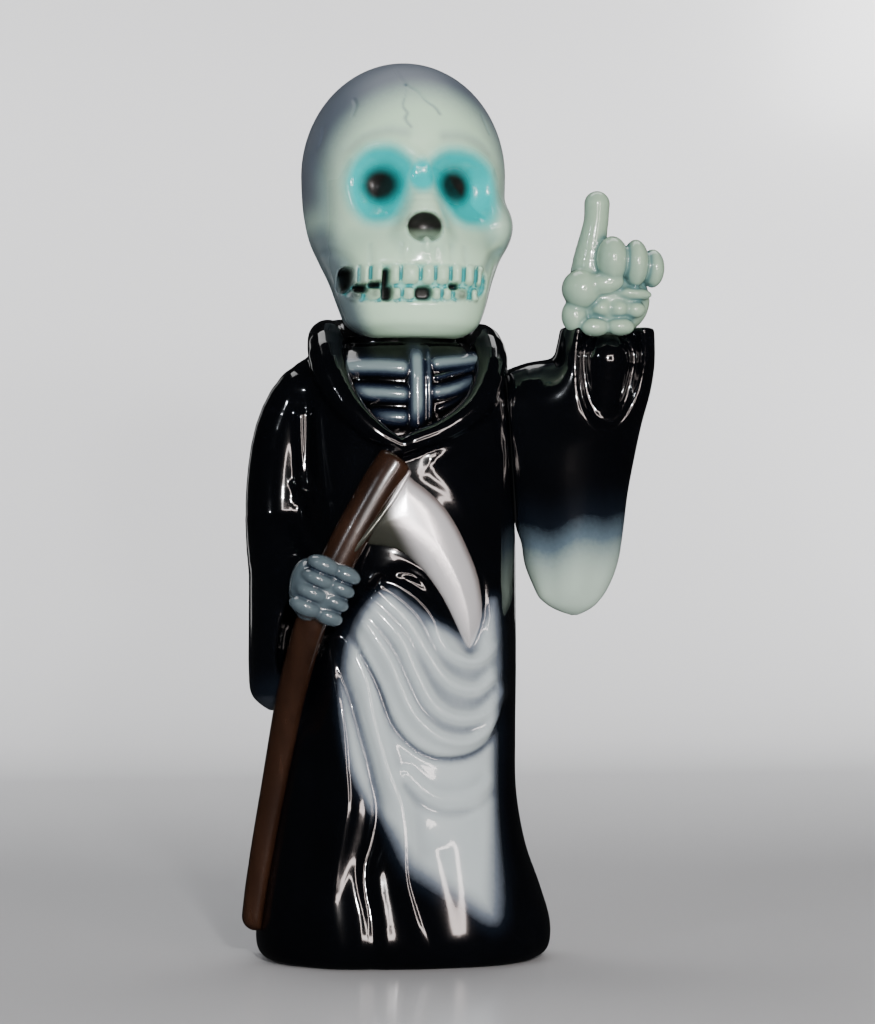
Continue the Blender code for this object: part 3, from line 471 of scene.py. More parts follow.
class FrontView:
    """A rectangle of the front view, on which maps of heights, distances and paint are laid out."""

    def __init__(self, low, high, step):
        self.low, self.step = low, step
        self.x, self.z = np.meshgrid(*(np.arange(low[k], high[k], step) for k in range(2)), indexing="ij")

    def read(self, values, p):
        """The value of a map in front of each point, between the map's own points."""
        i = np.clip((p[0] - self.low[0]) / self.step, 0, values.shape[0] - 1.001)
        j = np.clip((p[2] - self.low[1]) / self.step, 0, values.shape[1] - 1.001)
        i0, j0 = i.astype(np.int32), j.astype(np.int32)
        i, j = i - i0, j - j0
        return ((values[i0, j0] * (1 - i) + values[i0 + 1, j0] * i) * (1 - j)
                + (values[i0, j0 + 1] * (1 - i) + values[i0 + 1, j0 + 1] * i) * j)

    def blank(self):
        return np.zeros(self.x.shape)

    def add_line(self, values, line, rise, width):
        """Adds a soft ridge, or a groove, along a line."""
        rows = smooth_rows(line)
        reach = 3 * width
        corners = (rows.min(0) - reach, rows.max(0) + reach)
        window = tuple(slice(*(max(int((corner[k] - self.low[k]) / self.step), 0) for corner in corners))
                       for k in range(2))
        values[window] += rise * bell(line_distance(rows, self.x[window], self.z[window]), width)

    def inside(self, outline):
        """The distance from a closed outline, negative inside it."""
        loop = closed_curve(outline)
        within = np.zeros(self.x.shape, bool)
        for (x0, z0), (x1, z1) in zip(loop, loop[1:], strict=False):
            if z0 != z1:
                slant = (x1 - x0) * (self.z - z0) / (z1 - z0) + x0
                within ^= ((z0 > self.z) != (z1 > self.z)) & (self.x < slant)
        return np.where(within, -1, 1) * line_distance(loop, self.x, self.z)

    def block(self, x, z, half_width, half_height, corner):
        """The distance from a rounded rectangle, negative inside it."""
        across = np.abs(self.x - x) - half_width + corner
        along = np.abs(self.z - z) - half_height + corner
        outside = np.hypot(np.maximum(across, 0), np.maximum(along, 0))
        return outside + np.minimum(np.maximum(across, along), 0) - corner


BODY_VIEW = FrontView((-50, -2), (50, 176), 0.25)
FACE_VIEW = FrontView((-32, 160), (32, 242), 0.2)


def neck_height(x):
    return np.interp(x, *NECKLINE.T)


def fold_map(view):
    """How far the robe's front stands out at each place of the front view."""
    relief = view.blank()
    for line, rise, width in FOLDS:
        view.add_line(relief, line, rise, width)
    for k in range(ELBOW_WRINKLES):
        x, z = ELBOW[0] + WRINKLE_STEP[0] * k, ELBOW[1] + WRINKLE_STEP[1] * k + WRINKLE_STAGGER * (k % 2)
        wrinkle = ((x, z), (x + 1.2, z - 2.4), (x + 0.8, z - 5))
        view.add_line(relief, wrinkle, WRINKLE_HEIGHT, WRINKLE_WIDTH)
    edge = np.interp(view.x, *OVERSKIRT_EDGE.T)
    above = (view.z - edge) / np.hypot(1, np.gradient(edge, view.step, axis=0))
    fading = (smooth_step(view.z, 118, 84) * smooth_step(view.x, 27, 21)
              * smooth_step(view.x, -19, -15))
    relief *= HEM_SHARE + (1 - HEM_SHARE) * smooth_step(view.z, *HEM_CALM)
    relief += OVERSKIRT_STEP * smooth_step(above, *OVERSKIRT_SLOPE) * fading
    relief -= OVERSKIRT_GROOVE * bell(above - OVERSKIRT_SLOPE[0], OVERSKIRT_SLOPE[1]) * fading
    relief *= BLADE_SHARE + (1 - BLADE_SHARE) * smooth_step(view.inside(BLADE_OUTLINE), *BLADE_CALM)
    relief -= CHEST_RECESS * smooth_step(view.z - neck_height(view.x), -1, 1.4)
    return blur(relief, 2).astype(np.float32)


def rib_map(view):
    """How far the breastbone and the ribs stand out of the chest."""
    relief = view.blank()
    for line, rise, width in RIBS:
        ridge = view.blank()
        view.add_line(ridge, line, rise, width)
        relief = np.maximum(relief, ridge)
    return blur(relief, 1).astype(np.float32)


def tooth_map(view):
    teeth = view.blank() + FAR
    for row, height, half_height in TOOTH_ROWS:
        for x, half_width in row:
            corner = min(1.5, 0.9 * half_width)
            teeth = np.minimum(teeth, view.block(x, height, half_width + 0.12, half_height + 0.1, corner))
    return teeth


def gap_map(view):
    gaps = view.blank() + FAR
    for gap in GAPS:
        gaps = np.minimum(gaps, view.block(*gap, 0.8 * min(gap[2:])))
    return gaps


def face_map(view):
    """How far the face stands out of the skull's plain form."""
    relief = view.blank()
    for line, rise, width, _ in SKULL_LINES:
        view.add_line(relief, line, rise, width)
    for outline in SOCKETS:
        edge = view.inside(outline)
        relief -= SOCKET_DEPTH * smooth_step(edge, *SOCKET_SLOPE)
        relief += SOCKET_RIM * bell(edge, 0.9) * smooth_step(view.z, 206, 210)
    for x, z in PUPILS:
        relief -= PUPIL_DEPTH * bell(np.hypot(view.x - x, view.z - z), PUPIL_RADIUS)
    relief -= MOUTH_DEPTH * smooth_step(view.inside(MOUTH), 0.8, -0.5)
    relief += TOOTH_HEIGHT * (1 - np.exp(np.minimum(tooth_map(view) - 0.15, 0) / TOOTH_ROUNDING))
    relief -= GAP_DEPTH * smooth_step(gap_map(view), 0.5, -0.5)
    return blur(relief, 1).astype(np.float32)


FRONT_FOLDS = fold_map(BODY_VIEW)
# Painted shade for the robe's fold valleys: how far each place lies below its blurred surroundings
VALLEY_SHADE = np.clip(blur(FRONT_FOLDS, 120) - FRONT_FOLDS, 0, 1.2).astype(np.float32) / 1.2
CHEST_RIBS = rib_map(BODY_VIEW)
FACE = face_map(FACE_VIEW)


def robe_loft(p):
    """The field of the robe's plain form, which goes on above and below."""
    angle = np.arctan2(p[1], p[0])
    fading = smooth_step(p[2], *BACK_FOLDS_FADE) * smooth_step(p[1], 0, 10)
    ripple = BACK_FOLD_HEIGHT * fading * np.cos(2 * BACK_FOLDS * angle)
    return squared_loft(p, ROBE_SECTIONS, ROBE_SQUARENESS) - ripple


def robe_field(p):
    field = np.maximum(robe_loft(p), p[2] - SHOULDER_TOP)
    field = join(field, tube(p, RIGHT_ARM), ARM_SOFT)
    sleeve = both(squared_loft(p, RIGHT_SLEEVE, OVAL), RIGHT_CUFF - p[2], 2)
    field = join(field, np.maximum(sleeve, p[2] - RIGHT_SLEEVE_TOP), SLEEVE_SOFT)
    field = field - BODY_VIEW.read(FRONT_FOLDS, p) * smooth_step(-p[1], 1, 9)
    field = both(field, -p[2], HEM_SOFT)
    for middle, sizes in HOOD:
        field = join(field, ball(p, middle, sizes), HOOD_SOFT)
    field = join(field, tube(p, COLLAR), COLLAR_SOFT)
    field = carve(field, ball(p, *RIGHT_SLEEVE_OPENING), 1.2)
    return carve(field, ball(p, *NECK_HOLLOW), 2)


def rib_field(p):
    """A thin plate in the open V, which carries the breastbone and the ribs."""
    loft = robe_loft(p)
    plate = loft + RIB_FLOOR - BODY_VIEW.read(CHEST_RIBS, p)
    plate = np.maximum(plate, -loft - CHEST_RECESS - RIB_PLATE)
    edge = neck_height(p[0]) - 0.8 - p[2]
    plate = np.maximum(np.maximum(plate, edge * 0.7), p[2] - RIB_TOP)
    return np.maximum(plate, p[1] + 6)


def skull_field(p):
    low = both(squared_loft(p, SKULL_SECTIONS, SKULL_SQUARENESS), SKULL_BASE - p[2], 5)
    high = smooth_step(p[2], *CRANIUM_START)
    field = low * (1 - high) + ball(p, *CRANIUM) * high
    field = near_ball(p, field, *CHEEK, CHEEK_SOFT)
    field = near_ball(p, field, *MUZZLE, MUZZLE_SOFT)
    field = near(p, field, lambda q: tube(q, NOSE_CONE), NOSE_MIDDLE, 18, NOSE_SOFT)
    field = field - FACE_VIEW.read(FACE, p) * smooth_step(-p[1], -2, 6)
    field = near_ball(p, field, *NOSE_HOLE, NOSE_EDGE, carve)
    return near_ball(p, field, *NOSE_PEAK, NOSE_EDGE)


def shaft_field(p):
    """A shaft with a flattened front: what two round tubes share, cut square at the top."""
    first = tube(p, SHAFT + np.array((0.9, 1.6, 0.6, 0.9), np.float32))
    second = tube(p, SHAFT + np.array((-1.3, 0.9, -0.9, 0.9), np.float32))
    field = both(first, second, 0.5)
    top, under = SHAFT[0][:3], SHAFT[3][:3]
    up = (top - under) / np.linalg.norm(top - under)
    return both(field, up @ p - up @ top - 1.8, 1.6)


BLADE_EDGE = BODY_VIEW.inside(BLADE_OUTLINE).astype(np.float32)


def blade_field(p):
    """The blade's crowned plate, which lies over the robe, and the bead that joins it to the shaft."""
    skin = robe_loft(p)
    edge = BODY_VIEW.read(BLADE_EDGE, p)
    crown = BLADE_THICKNESS * (1 - np.exp(np.minimum(edge, 0) / BLADE_ROUNDING)) + BLADE_LIFT
    field = both(skin - crown, edge, 0.7)
    field = np.maximum(np.maximum(field, -skin - 3), p[1] + 4)
    return join(field, tube(p, BEAD), 0.6)


def hand_field(p):
    top, low = SHAFT[9][:3], SHAFT[15][:3]
    down = (low - top) / np.linalg.norm(low - top)
    across = np.cross(down, (0, 1, 0))
    across = across / np.linalg.norm(across) * np.sign(across[0])
    tilt = math.degrees(math.atan2(-across[2], across[0]))
    middle = np.array(RIGHT_HAND)
    field = ball(p, middle + (-4.4, 3, 0.4), (5, 6.2, 8.2))
    field = join(field, ball(p, middle + (0, 0.8, 0.3), (6.2, 4, 8)), 1)
    for finger in range(4):
        row = middle + down * FINGER_PITCH * (finger - 1.5)
        nearer = ball(p, row - across * FINGER_SPREAD[0] + (0, -1, 0), (4.6, 3.6, 2.5), (0, tilt, 0))
        further = ball(p, row + across * FINGER_SPREAD[1] + (0, -0.4, 0), (4.2, 3.4, 2.4), (0, tilt, 0))
        field = join(field, join(nearer, further, 0.7), 0.5)
    return field


def left_sleeve_field(p):
    field = squared_loft(p, LEFT_SLEEVE, OVAL)
    for line, rise, width in SLEEVE_FOLDS:
        away = line_distance(line, p[0], p[2])
        fading = smooth_step(-p[1], -2, 4) * smooth_step(p[2], 120, 104)
        field = field - rise * bell(away, width) * fading
    field = both(field, LEFT_SLEEVE_TIP - p[2], 3)
    field = both(field, p[2] - LEFT_CUFF, 1.2)
    field = join(field, tube(p, UPPER_ARM), SHOULDER_SOFT)
    field = join(field, ball(p, *UPPER_ARM_DRAPE), SHOULDER_SOFT)
    field = carve(field, ball(p, *LEFT_SLEEVE_OPENING), 1.4)
    field = join(field, tube(p, LEFT_FOREARM), 1.6)
    return carve(field, robe_loft(p) - 0.5, 0.8)


def left_hand_field(p):
    field = tube(p, FOREFINGER)
    for knuckle in LEFT_HAND:
        field = join(field, ball(p, *knuckle), FINGER_SOFT)
    return both(field, HAND_FOOT - p[2], 1)


# Skinning a field with a mesh

CHUNK, THREADS = 60000, 4
BLOCK = 8
# How far off the surface the hollows are felt, the reach of a slope, and how the corners are moved
CREASE_REACH = (0.8, 1.8)
PROBE = 0.06
FLATTEST = 0.2
EVENING = 0.5
CORNERS = [(i, j, k) for i in (0, 1) for j in (0, 1) for k in (0, 1)]
CELL_EDGES = [(a, b) for a in range(8) for b in range(a + 1, 8)
              if sum(abs(m - n) for m, n in zip(CORNERS[a], CORNERS[b], strict=True)) == 1]


def sample(shape, points):
    """The field at (3, n) points, worked out in pieces side by side."""
    pieces = [points[:, start:start + CHUNK] for start in range(0, points.shape[1], CHUNK)]
    with ThreadPoolExecutor(THREADS) as pool:
        return np.concatenate(list(pool.map(lambda piece: shape(piece).astype(np.float32), pieces)))


def sample_grid(shape, low, high, step):
    """The field on a grid, exact near the surface and only signed away from it."""
    blocks = tuple(math.ceil((high[k] - low[k]) / step / BLOCK) for k in range(3))
    axes = [low[k] + step * BLOCK * np.arange(blocks[k] + 1) for k in range(3)]
    coarse = np.stack(np.meshgrid(*axes, indexing="ij")).astype(np.float32)
    coarse = sample(shape, coarse.reshape(3, -1)).reshape(coarse.shape[1:])
    closest = np.full(blocks, FAR, np.float32)
    for i, j, k in CORNERS:
        corner = coarse[i:i + blocks[0], j:j + blocks[1], k:k + blocks[2]]
        closest = np.minimum(closest, np.abs(corner))
    active = closest < 1.5 * BLOCK * step
    grid = np.repeat(np.repeat(np.repeat(coarse[:-1, :-1, :-1], BLOCK, 0), BLOCK, 1), BLOCK, 2)
    grid = np.pad(grid, ((0, 1),) * 3, mode="edge")
    wanted = np.zeros(grid.shape, bool)
    for i, j, k in np.argwhere(active) * BLOCK:
        wanted[i:i + BLOCK + 1, j:j + BLOCK + 1, k:k + BLOCK + 1] = True
    places = np.argwhere(wanted)
    points = (places * step + np.array(low)).astype(np.float32).T
    grid[wanted] = sample(shape, np.ascontiguousarray(points))
    return grid


def skin_grid(grid, low, step):
    """Corner points, in (n, 3), and four-sided faces of the surface where a grid changes sign."""
    solid = (grid < 0).astype(np.int8)
    size = tuple(count - 1 for count in grid.shape)
    total = sum(solid[i:i + size[0], j:j + size[1], k:k + size[2]] for i, j, k in CORNERS)
    cells = np.argwhere((total > 0) & (total < 8))
    number = np.full(size, -1, np.int64)
    number[tuple(cells.T)] = np.arange(len(cells))
    values = [grid[tuple((cells + corner).T)] for corner in CORNERS]
    place, hits = np.zeros((len(cells), 3)), np.zeros(len(cells))
    for a, b in CELL_EDGES:
        crossing = (values[a] < 0) != (values[b] < 0)
        t = values[a][crossing] / (values[a][crossing] - values[b][crossing])
        start, stop = np.array(CORNERS[a]), np.array(CORNERS[b])
        place[crossing] += start + (stop - start) * t[:, None]
        hits[crossing] += 1
    points = (cells + place / hits[:, None]) * step + np.array(low)
    faces = []
    for axis in range(3):
        u, v = (axis + 1) % 3, (axis + 2) % 3
        change = np.diff(solid, axis=axis)
        for sign in (1, -1):
            nodes = np.argwhere(change == -sign)
            nodes = nodes[(nodes[:, u] > 0) & (nodes[:, v] > 0)
                          & (nodes[:, u] < size[u]) & (nodes[:, v] < size[v])]
            quad = []
            for du, dv in ((1, 1), (0, 1), (0, 0), (1, 0)):
                cell = nodes.copy()
                cell[:, u] -= du
                cell[:, v] -= dv
                quad.append(number[tuple(cell.T)])
            faces.append(np.stack(quad[::sign], 1))
    return points, np.vstack(faces)


def slope(shape, points, reach):
    """The field and its gradient at (3, n) points."""
    tips = np.array(((1, 1, 1), (1, -1, -1), (-1, 1, -1), (-1, -1, 1)), np.float32)
    values = [sample(shape, points + tip[:, None] * reach) for tip in tips]
    gradient = sum(tip[:, None] * value for tip, value in zip(tips, values, strict=True)) / (4 * reach)
    return sum(values) / 4, gradient


def settle(shape, points, faces, step, passes=3):
    """Moves the corners onto the surface, evens out their spacing along it, and finds their normals."""
    points = np.ascontiguousarray(points.T, np.float32)
    edges = np.vstack([faces[:, (side, (side + 1) % 4)] for side in range(4)])
    count = np.bincount(edges[:, 0], minlength=points.shape[1])
    for turn in range(passes):
        value, gradient = slope(shape, points, PROBE)
        steep = np.maximum((gradient**2).sum(0), FLATTEST)
        points -= gradient * np.clip(value / steep, -step, step)
        if turn < passes - 1:
            mean = np.stack([np.bincount(edges[:, 0], row[edges[:, 1]], points.shape[1]) for row in points])
            pull = mean / np.maximum(count, 1) - points
            normal = gradient / np.sqrt(steep)
            pull -= normal * (pull * normal).sum(0)
            points += EVENING * pull.astype(np.float32)
    return points, gradient / np.sqrt(steep)


def hollowness(shape, points, normal):
    """How far each corner lies in a groove: 0 on open surfaces, 1 where another surface meets it."""
    closed = np.zeros(points.shape[1])
    for reach in CREASE_REACH:
        closed += 1 - sample(shape, points + normal * reach) / reach
    return np.clip(closed / len(CREASE_REACH), 0, 1)


def sculpt(name, shape, low, high, step, **tones):
    """A smooth mesh object of a field between two corners, with its tones on the corners."""
    points, faces = skin_grid(sample_grid(shape, low, high, step), low, step)
    points, normal = settle(shape, points, faces, step)
    # How deep in a groove each corner lies, which the materials turn into painted shade
    crease = hollowness(shape, points, normal)
    mesh = bpy.data.meshes.new(name)
    mesh.vertices.add(points.shape[1])
    mesh.vertices.foreach_set("co", (points.T * MM).astype(np.float32).ravel())
    mesh.loops.add(faces.size)
    mesh.loops.foreach_set("vertex_index", faces.astype(np.int32).ravel())
    mesh.polygons.add(len(faces))
    mesh.polygons.foreach_set("loop_start", np.arange(0, faces.size, 4, dtype=np.int32))
    mesh.polygons.foreach_set("use_smooth", np.ones(len(faces), bool))
    mesh.update(calc_edges=True)
    mesh.validate()
    for tone, amount in (("crease", lambda *_: crease), *tones.items()):
        layer = mesh.attributes.new(tone, "FLOAT", "POINT")
        layer.data.foreach_set("value", amount(points, normal, crease).astype(np.float32))
    made = bpy.data.objects.new(name, mesh)
    bpy.context.scene.collection.objects.link(made)
    print(f"{name}: {len(faces) * 2} triangles")
    return made


# Airbrushed tones and painted shade: each is worked out from the corners' places, normals and hollowness

CUFF_PALENESS = 0.34
GROOVE_TEAL = 0.45
DARK_TOOTH = 0.6
JAW_SHADE = 0.9
CROWN_MIDDLE, CROWN_RADII = (1.5, 205), (29.6, 31)
BRIDGE_MIDDLE, BRIDGE_RADII = (0.4, 207), (4.2, 4.2)
PUPIL_SPRAY = (7.0, 2.4)
SLEEVE_SPRAY = (15.0, -15.0)
PALE_SKIRT = ((-18, 86.7), (-20.3, 74.5), (-19.9, 63.8), (-18, 52.4), (-13.4, 42.4), (-11.1, 40.1),
              (-8, 36.2), (-3.3, 27), (2.9, 22.3), (10.6, 17.5), (18.4, 12.8), (21.1, 18.1), (21.9, 48.1),
              (22.3, 78.8), (20.8, 96), (17.2, 91.4), (13.2, 86.4), (7.5, 88.8), (2.1, 91.6), (-3.3, 95.8),
              (-8, 98.8), (-13.4, 95.6))
PALE_MAP = BODY_VIEW.inside(PALE_SKIRT).astype(np.float32)
SOCKET_MAP = np.minimum(*(FACE_VIEW.inside(outline) for outline in SOCKETS)).astype(np.float32)
TOOTH_MAP = tooth_map(FACE_VIEW).astype(np.float32)
MOUTH_MAP = FACE_VIEW.inside(MOUTH).astype(np.float32)
GAP_MAP = gap_map(FACE_VIEW).astype(np.float32)


def line_paint(view):
    """The grey along the skull's lines: painted shade in their grooves, and the dark paint of the cracks.
    """
    paint = view.blank()
    for line, _, width, strength in SKULL_LINES:
        if strength:
            stroke = view.blank()
            view.add_line(stroke, line, strength, max(width, 0.45))
            paint = np.maximum(paint, stroke)
    return paint.astype(np.float32)


LINE_MAP = line_paint(FACE_VIEW)


def oval(p, middle, radii):
    """How far out each point lies in the front view: 0 in an oval's middle, 1 on its edge."""
    return np.hypot((p[0] - middle[0]) / radii[0], (p[2] - middle[1]) / radii[1])


def robe_pale(p, normal, crease):
    distance = BODY_VIEW.read(PALE_MAP, p)
    softness = 3.0 + 2.6 * smooth_step(p[2], 45, 20) + 1.0 * smooth_step(p[0], 14, 20)
    skirt = smooth_step(distance / softness, 1, -1) * smooth_step(-p[1], 3, 8)
    cuff = CUFF_PALENESS * smooth_step(p[2], 80, 67) * smooth_step(p[2], 60, 64)
    cuff *= smooth_step(-p[0], 29, 32)
    # The pale paint darkens in creases and fold valleys: painted shade, partly also airbrush that misses
    # the hollows
    valley = BODY_VIEW.read(VALLEY_SHADE, p)
    return np.maximum(skirt * (1 - 0.6 * np.clip(1.4 * crease, 0, 1)) * (1 - 0.5 * valley), cuff)


def rib_pale(p, *_):
    rib = BODY_VIEW.read(CHEST_RIBS, p)
    away = p[2] - neck_height(p[0])
    return smooth_step(rib, 0.3, 1.6) * smooth_step(away, 0.5, 7) * smooth_step(p[2], 165, 159)


def sleeve_pale(p, *_):
    paint_top = np.interp(p[0], *SLEEVE_PAINT.T)
    return smooth_step(p[2] - paint_top, *SLEEVE_SPRAY)


def skull_teal(p, *_):
    edge = FACE_VIEW.read(SOCKET_MAP, p)
    sockets = smooth_step(edge, 3, -1.8)
    bridge = smooth_step(oval(p, BRIDGE_MIDDLE, BRIDGE_RADII), 1.5, 0.6)
    tooth, mouth = (FACE_VIEW.read(values, p) for values in (TOOTH_MAP, MOUTH_MAP))
    grooves = GROOVE_TEAL * smooth_step(tooth, -0.5, 0.3) * smooth_step(mouth, 0.6, -0.4)
    return np.maximum(np.maximum(sockets, bridge), grooves) * smooth_step(-p[1], 3, 7)


def skull_black(p, *_):
    dark = smooth_step(FACE_VIEW.read(GAP_MAP, p), 0.5, -0.5)
    for x, z in PUPILS:
        dark = np.maximum(dark, smooth_step(np.hypot(p[0] - x, p[2] - z), *PUPIL_SPRAY))
    for x, z, radius in DARK_TEETH:
        stained = smooth_step(np.hypot(p[0] - x, p[2] - z), radius + 0.6, radius - 0.6)
        dark = np.maximum(dark, DARK_TOOTH * stained)
    nose = np.hypot((p[0] - NOSE_HOLE[0][0]) / 5.4, (p[2] - NOSE_HOLE[0][2] - 0.4) / 4.5)
    inside = smooth_step(p[1], -31.4, -29.6)
    nose = smooth_step(nose, 1.02, 0.8) * inside * (0.55 + 0.45 * smooth_step(p[2], 190.5, 193.5))
    return np.maximum(dark, nose) * smooth_step(-p[1], 2, 6)


def skull_shade(p, *_):
    """The blue-grey paint of the crown, the temples and the jaw's edges, and the lines' grey, painted shade
    in their grooves.
    """
    crown = smooth_step(oval(p, CROWN_MIDDLE, CROWN_RADII), 0.61, 0.97) * smooth_step(p[2], 186, 204)
    across = (p[0] - 0.6) / np.interp(p[2], SKULL_SECTIONS[:, 0], SKULL_SECTIONS[:, 1])
    jaw = np.maximum(smooth_step(across, 0.84, 1.03), smooth_step(-across, 0.66, 0.94))
    jaw *= smooth_step(p[2], 206, 190)
    back = smooth_step(p[1], -8, 10)
    lines = FACE_VIEW.read(LINE_MAP, p) * smooth_step(-p[1], 0, 6)
    return np.clip(np.maximum(np.maximum(crown, JAW_SHADE * jaw), np.maximum(back, lines)), 0, 1)


def skull_matte(p, *_):
    """Where the gloss is dulled: the forehead, the crown and the black paint."""
    brow = smooth_step(FACE_VIEW.read(SOCKET_MAP, p), 0.6, 2.6)
    made = np.maximum(smooth_step(p[2], 202, 214) * brow, smooth_step(p[1], -20, -2))
    return np.maximum(made, 0.8 * skull_black(p))


def hand_painted_shade(p, normal, crease):
    """Painted shade on the hands: darker in grooves, below and towards the figure's right, partly also
    airbrush sprayed from that side.
    """
    return np.clip(crease * 1.2 + 0.35 * np.clip(-normal[0], 0, 1) + 0.25 * np.clip(-normal[2], 0, 1), 0, 1)


def hand_foot(p, *_):
    return smooth_step(p[2], 168.5, 164.5)


def blade_shaded_side(p, *_):
    """Painted shade on the blade's inner side, away from the bright band that runs down to its point, where
    the silver is kept bright as a painted highlight.
    """
    across = 0.884 * (p[0] + 4) + 0.47 * (p[2] - 128)
    return smooth_step(across, -3.5, -9.5)


def blade_rim_reflection(p, *_):
    """Painted reflection: a duller, warmer outer edge that stands in for the warm light mirrored along it.
    """
    outer = smooth_step(p[0] - 0.62 * (124.0 - p[2]), -6, 2)
    return smooth_step(BODY_VIEW.read(BLADE_EDGE, p), -2.4, -0.4) * outer


# Materials

COAT_ROUGHNESS = 0.03
BUMP_HEIGHT = 0.0002
MIX_COLOUR_SOCKETS = (0, 6, 7)


class Nodes:
    """Adds nodes to the tree of a material or of the world."""

    def __init__(self, owner):
        owner.use_nodes = True
        self.tree = owner.node_tree

    def feed(self, socket, value):
        """Links a socket to another node's output, or sets it to a number, a vector or a colour."""
        if isinstance(value, bpy.types.NodeSocket):
            self.tree.links.new(value, socket)
        elif socket.type == "RGBA":
            socket.default_value = (*value, 1.0)
        else:
            socket.default_value = value

    def node(self, kind, **inputs):
        """A new node, with what its named sockets take."""
        made = self.tree.nodes.new("ShaderNode" + kind)
        for name, value in inputs.items():
            self.feed(made.inputs[name.replace("_", " ")], value)
        return made


class Paint(Nodes):
    """Builds up a glossy material's colour from layers of paint, each held to a tone of the mesh."""

    def __init__(self, name, roughness, coat=0.5, metallic=0.0):
        self.material = bpy.data.materials.new(name)
        super().__init__(self.material)
        self.shader = self.tree.nodes["Principled BSDF"]
        for socket, value in (("Roughness", roughness), ("Metallic", metallic), ("Coat Weight", coat),
                              ("Coat Roughness", COAT_ROUGHNESS)):
            self.shader.inputs[socket].default_value = value

    def tone(self, name):
        made = self.node("Attribute")
        made.attribute_name = name
        return made.outputs["Fac"]

    def noise(self, scale, detail=4.0, stretch=(1.0, 1.0, 1.0)):
        turned = self.node("Mapping", Vector=self.node("TexCoord").outputs["Object"], Scale=stretch)
        made = self.node("TexNoise", Vector=turned.outputs["Vector"], Scale=scale, Detail=detail)
        return made.outputs["Fac"]

    def math(self, operation, *values, clamp=True):
        made = self.node("Math")
        made.operation, made.use_clamp = operation, clamp
        for socket, value in zip(made.inputs, values, strict=False):
            self.feed(socket, value)
        return made.outputs[0]

    def grain(self, tone, amount=0.10, scale=900.0):
        """A tone with the fine speckle of airbrushed paint, which shows where the paint is thin."""
        speckle = self.node("MapRange", Value=self.noise(scale, 3.0), To_Min=-amount, To_Max=amount)
        thin = self.math("MULTIPLY", tone, self.math("SUBTRACT", 1.0, tone))
        thin = self.math("MULTIPLY", thin, 4.0)
        return self.math("MULTIPLY_ADD", speckle.outputs["Result"], thin, tone, clamp=False)

    def ramp(self, fac, stops):
        made = self.node("ValToRGB", Fac=fac)
        points = made.color_ramp.elements
        points[0].position, points[0].color = stops[0][0], (*stops[0][1], 1.0)
        points[1].position, points[1].color = stops[-1][0], (*stops[-1][1], 1.0)
        for place, colour in stops[1:-1]:
            points.new(place).color = (*colour, 1.0)
        return made.outputs["Color"]

    def mix(self, fac, a, b):
        made = self.node("Mix")
        made.data_type = "RGBA"
        for socket, value in zip(MIX_COLOUR_SOCKETS, (fac, a, b), strict=True):
            self.feed(made.inputs[socket], value)
        return made.outputs[2]

    def vary(self, socket, fac, low, high):
        """Moves one of the shader's values from low to high with a tone."""
        made = self.node("MapRange", Value=fac, To_Min=low, To_Max=high)
        self.feed(self.shader.inputs[socket], made.outputs["Result"])

    def done(self, colour, bump_scale=260.0, bump=0.06):
        """Sets the colour and the faint unevenness of sprayed lacquer."""
        uneven = self.node("Bump", Height=self.noise(bump_scale, 2.0), Strength=bump, Distance=BUMP_HEIGHT)
        self.feed(self.shader.inputs["Base Color"], colour)
        self.feed(self.shader.inputs["Normal"], uneven.outputs["Normal"])
        return self.material


BLACK = (0.0006, 0.0006, 0.0008)
NAVY = (0.004, 0.006, 0.010)
BLUE_GREY = (0.13, 0.155, 0.19)
PALE_GREY = (0.47, 0.54, 0.55)


def robe_material(name, stops):
    paint = Paint(name, 0.10)
    colour = paint.ramp(paint.grain(paint.tone("pale"), 0.04), stops)
    dusty = paint.mix(paint.noise(40.0), colour, paint.mix(0.06, colour, (0.02, 0.03, 0.05)))
    return paint.done(dusty)


def rib_material():
    paint = Paint("rib_airbrush", 0.12)
    stops = ((0.0, BLACK), (0.3, (0.006, 0.010, 0.022)), (0.7, (0.05, 0.07, 0.09)),
             (1.0, (0.17, 0.23, 0.24)))
    return paint.done(paint.ramp(paint.grain(paint.tone("pale")), stops))


def skull_material():
    paint = Paint("skull_airbrush_and_shade", 0.14)
    bone = paint.mix(paint.noise(45.0), (0.48, 0.73, 0.51), (0.55, 0.79, 0.57))
    # Painted shade: the bone turns teal-grey in the grooves, partly also the teal airbrush gathered there
    bone = paint.mix(paint.math("MULTIPLY", paint.tone("crease"), 1.3), bone, (0.06, 0.21, 0.21))
    # The crown's blue-grey paint, with the painted shade along the skull's grooves
    shade = paint.grain(paint.tone("shade"), 0.06)
    stops = ((0.3, (0.165, 0.215, 0.265)), (1.0, (0.084, 0.108, 0.142)))
    colour = paint.mix(shade, bone, paint.ramp(shade, stops))
    colour = paint.mix(paint.grain(paint.tone("teal")), colour, (0.001, 0.49, 0.49))
    colour = paint.mix(paint.grain(paint.tone("black"), 0.05), colour, (0.006, 0.006, 0.005))
    paint.vary("Roughness", paint.tone("matte"), 0.17, 0.48)
    paint.vary("Coat Weight", paint.tone("matte"), 0.3, 0.0)
    return paint.done(colour)


def hand_material():
    paint = Paint("raised_hand_airbrush_and_shade", 0.15)
    base = paint.mix(paint.noise(120.0), (0.36, 0.50, 0.35), (0.30, 0.44, 0.33))
    # Painted shade, teal-grey, in the hand's grooves, below and towards the figure's right, partly also
    # airbrush
    colour = paint.mix(paint.grain(paint.tone("cool")), base, (0.11, 0.22, 0.21))
    colour = paint.mix(paint.math("MULTIPLY", paint.tone("foot"), 0.9), colour, (0.01, 0.016, 0.02))
    return paint.done(colour)


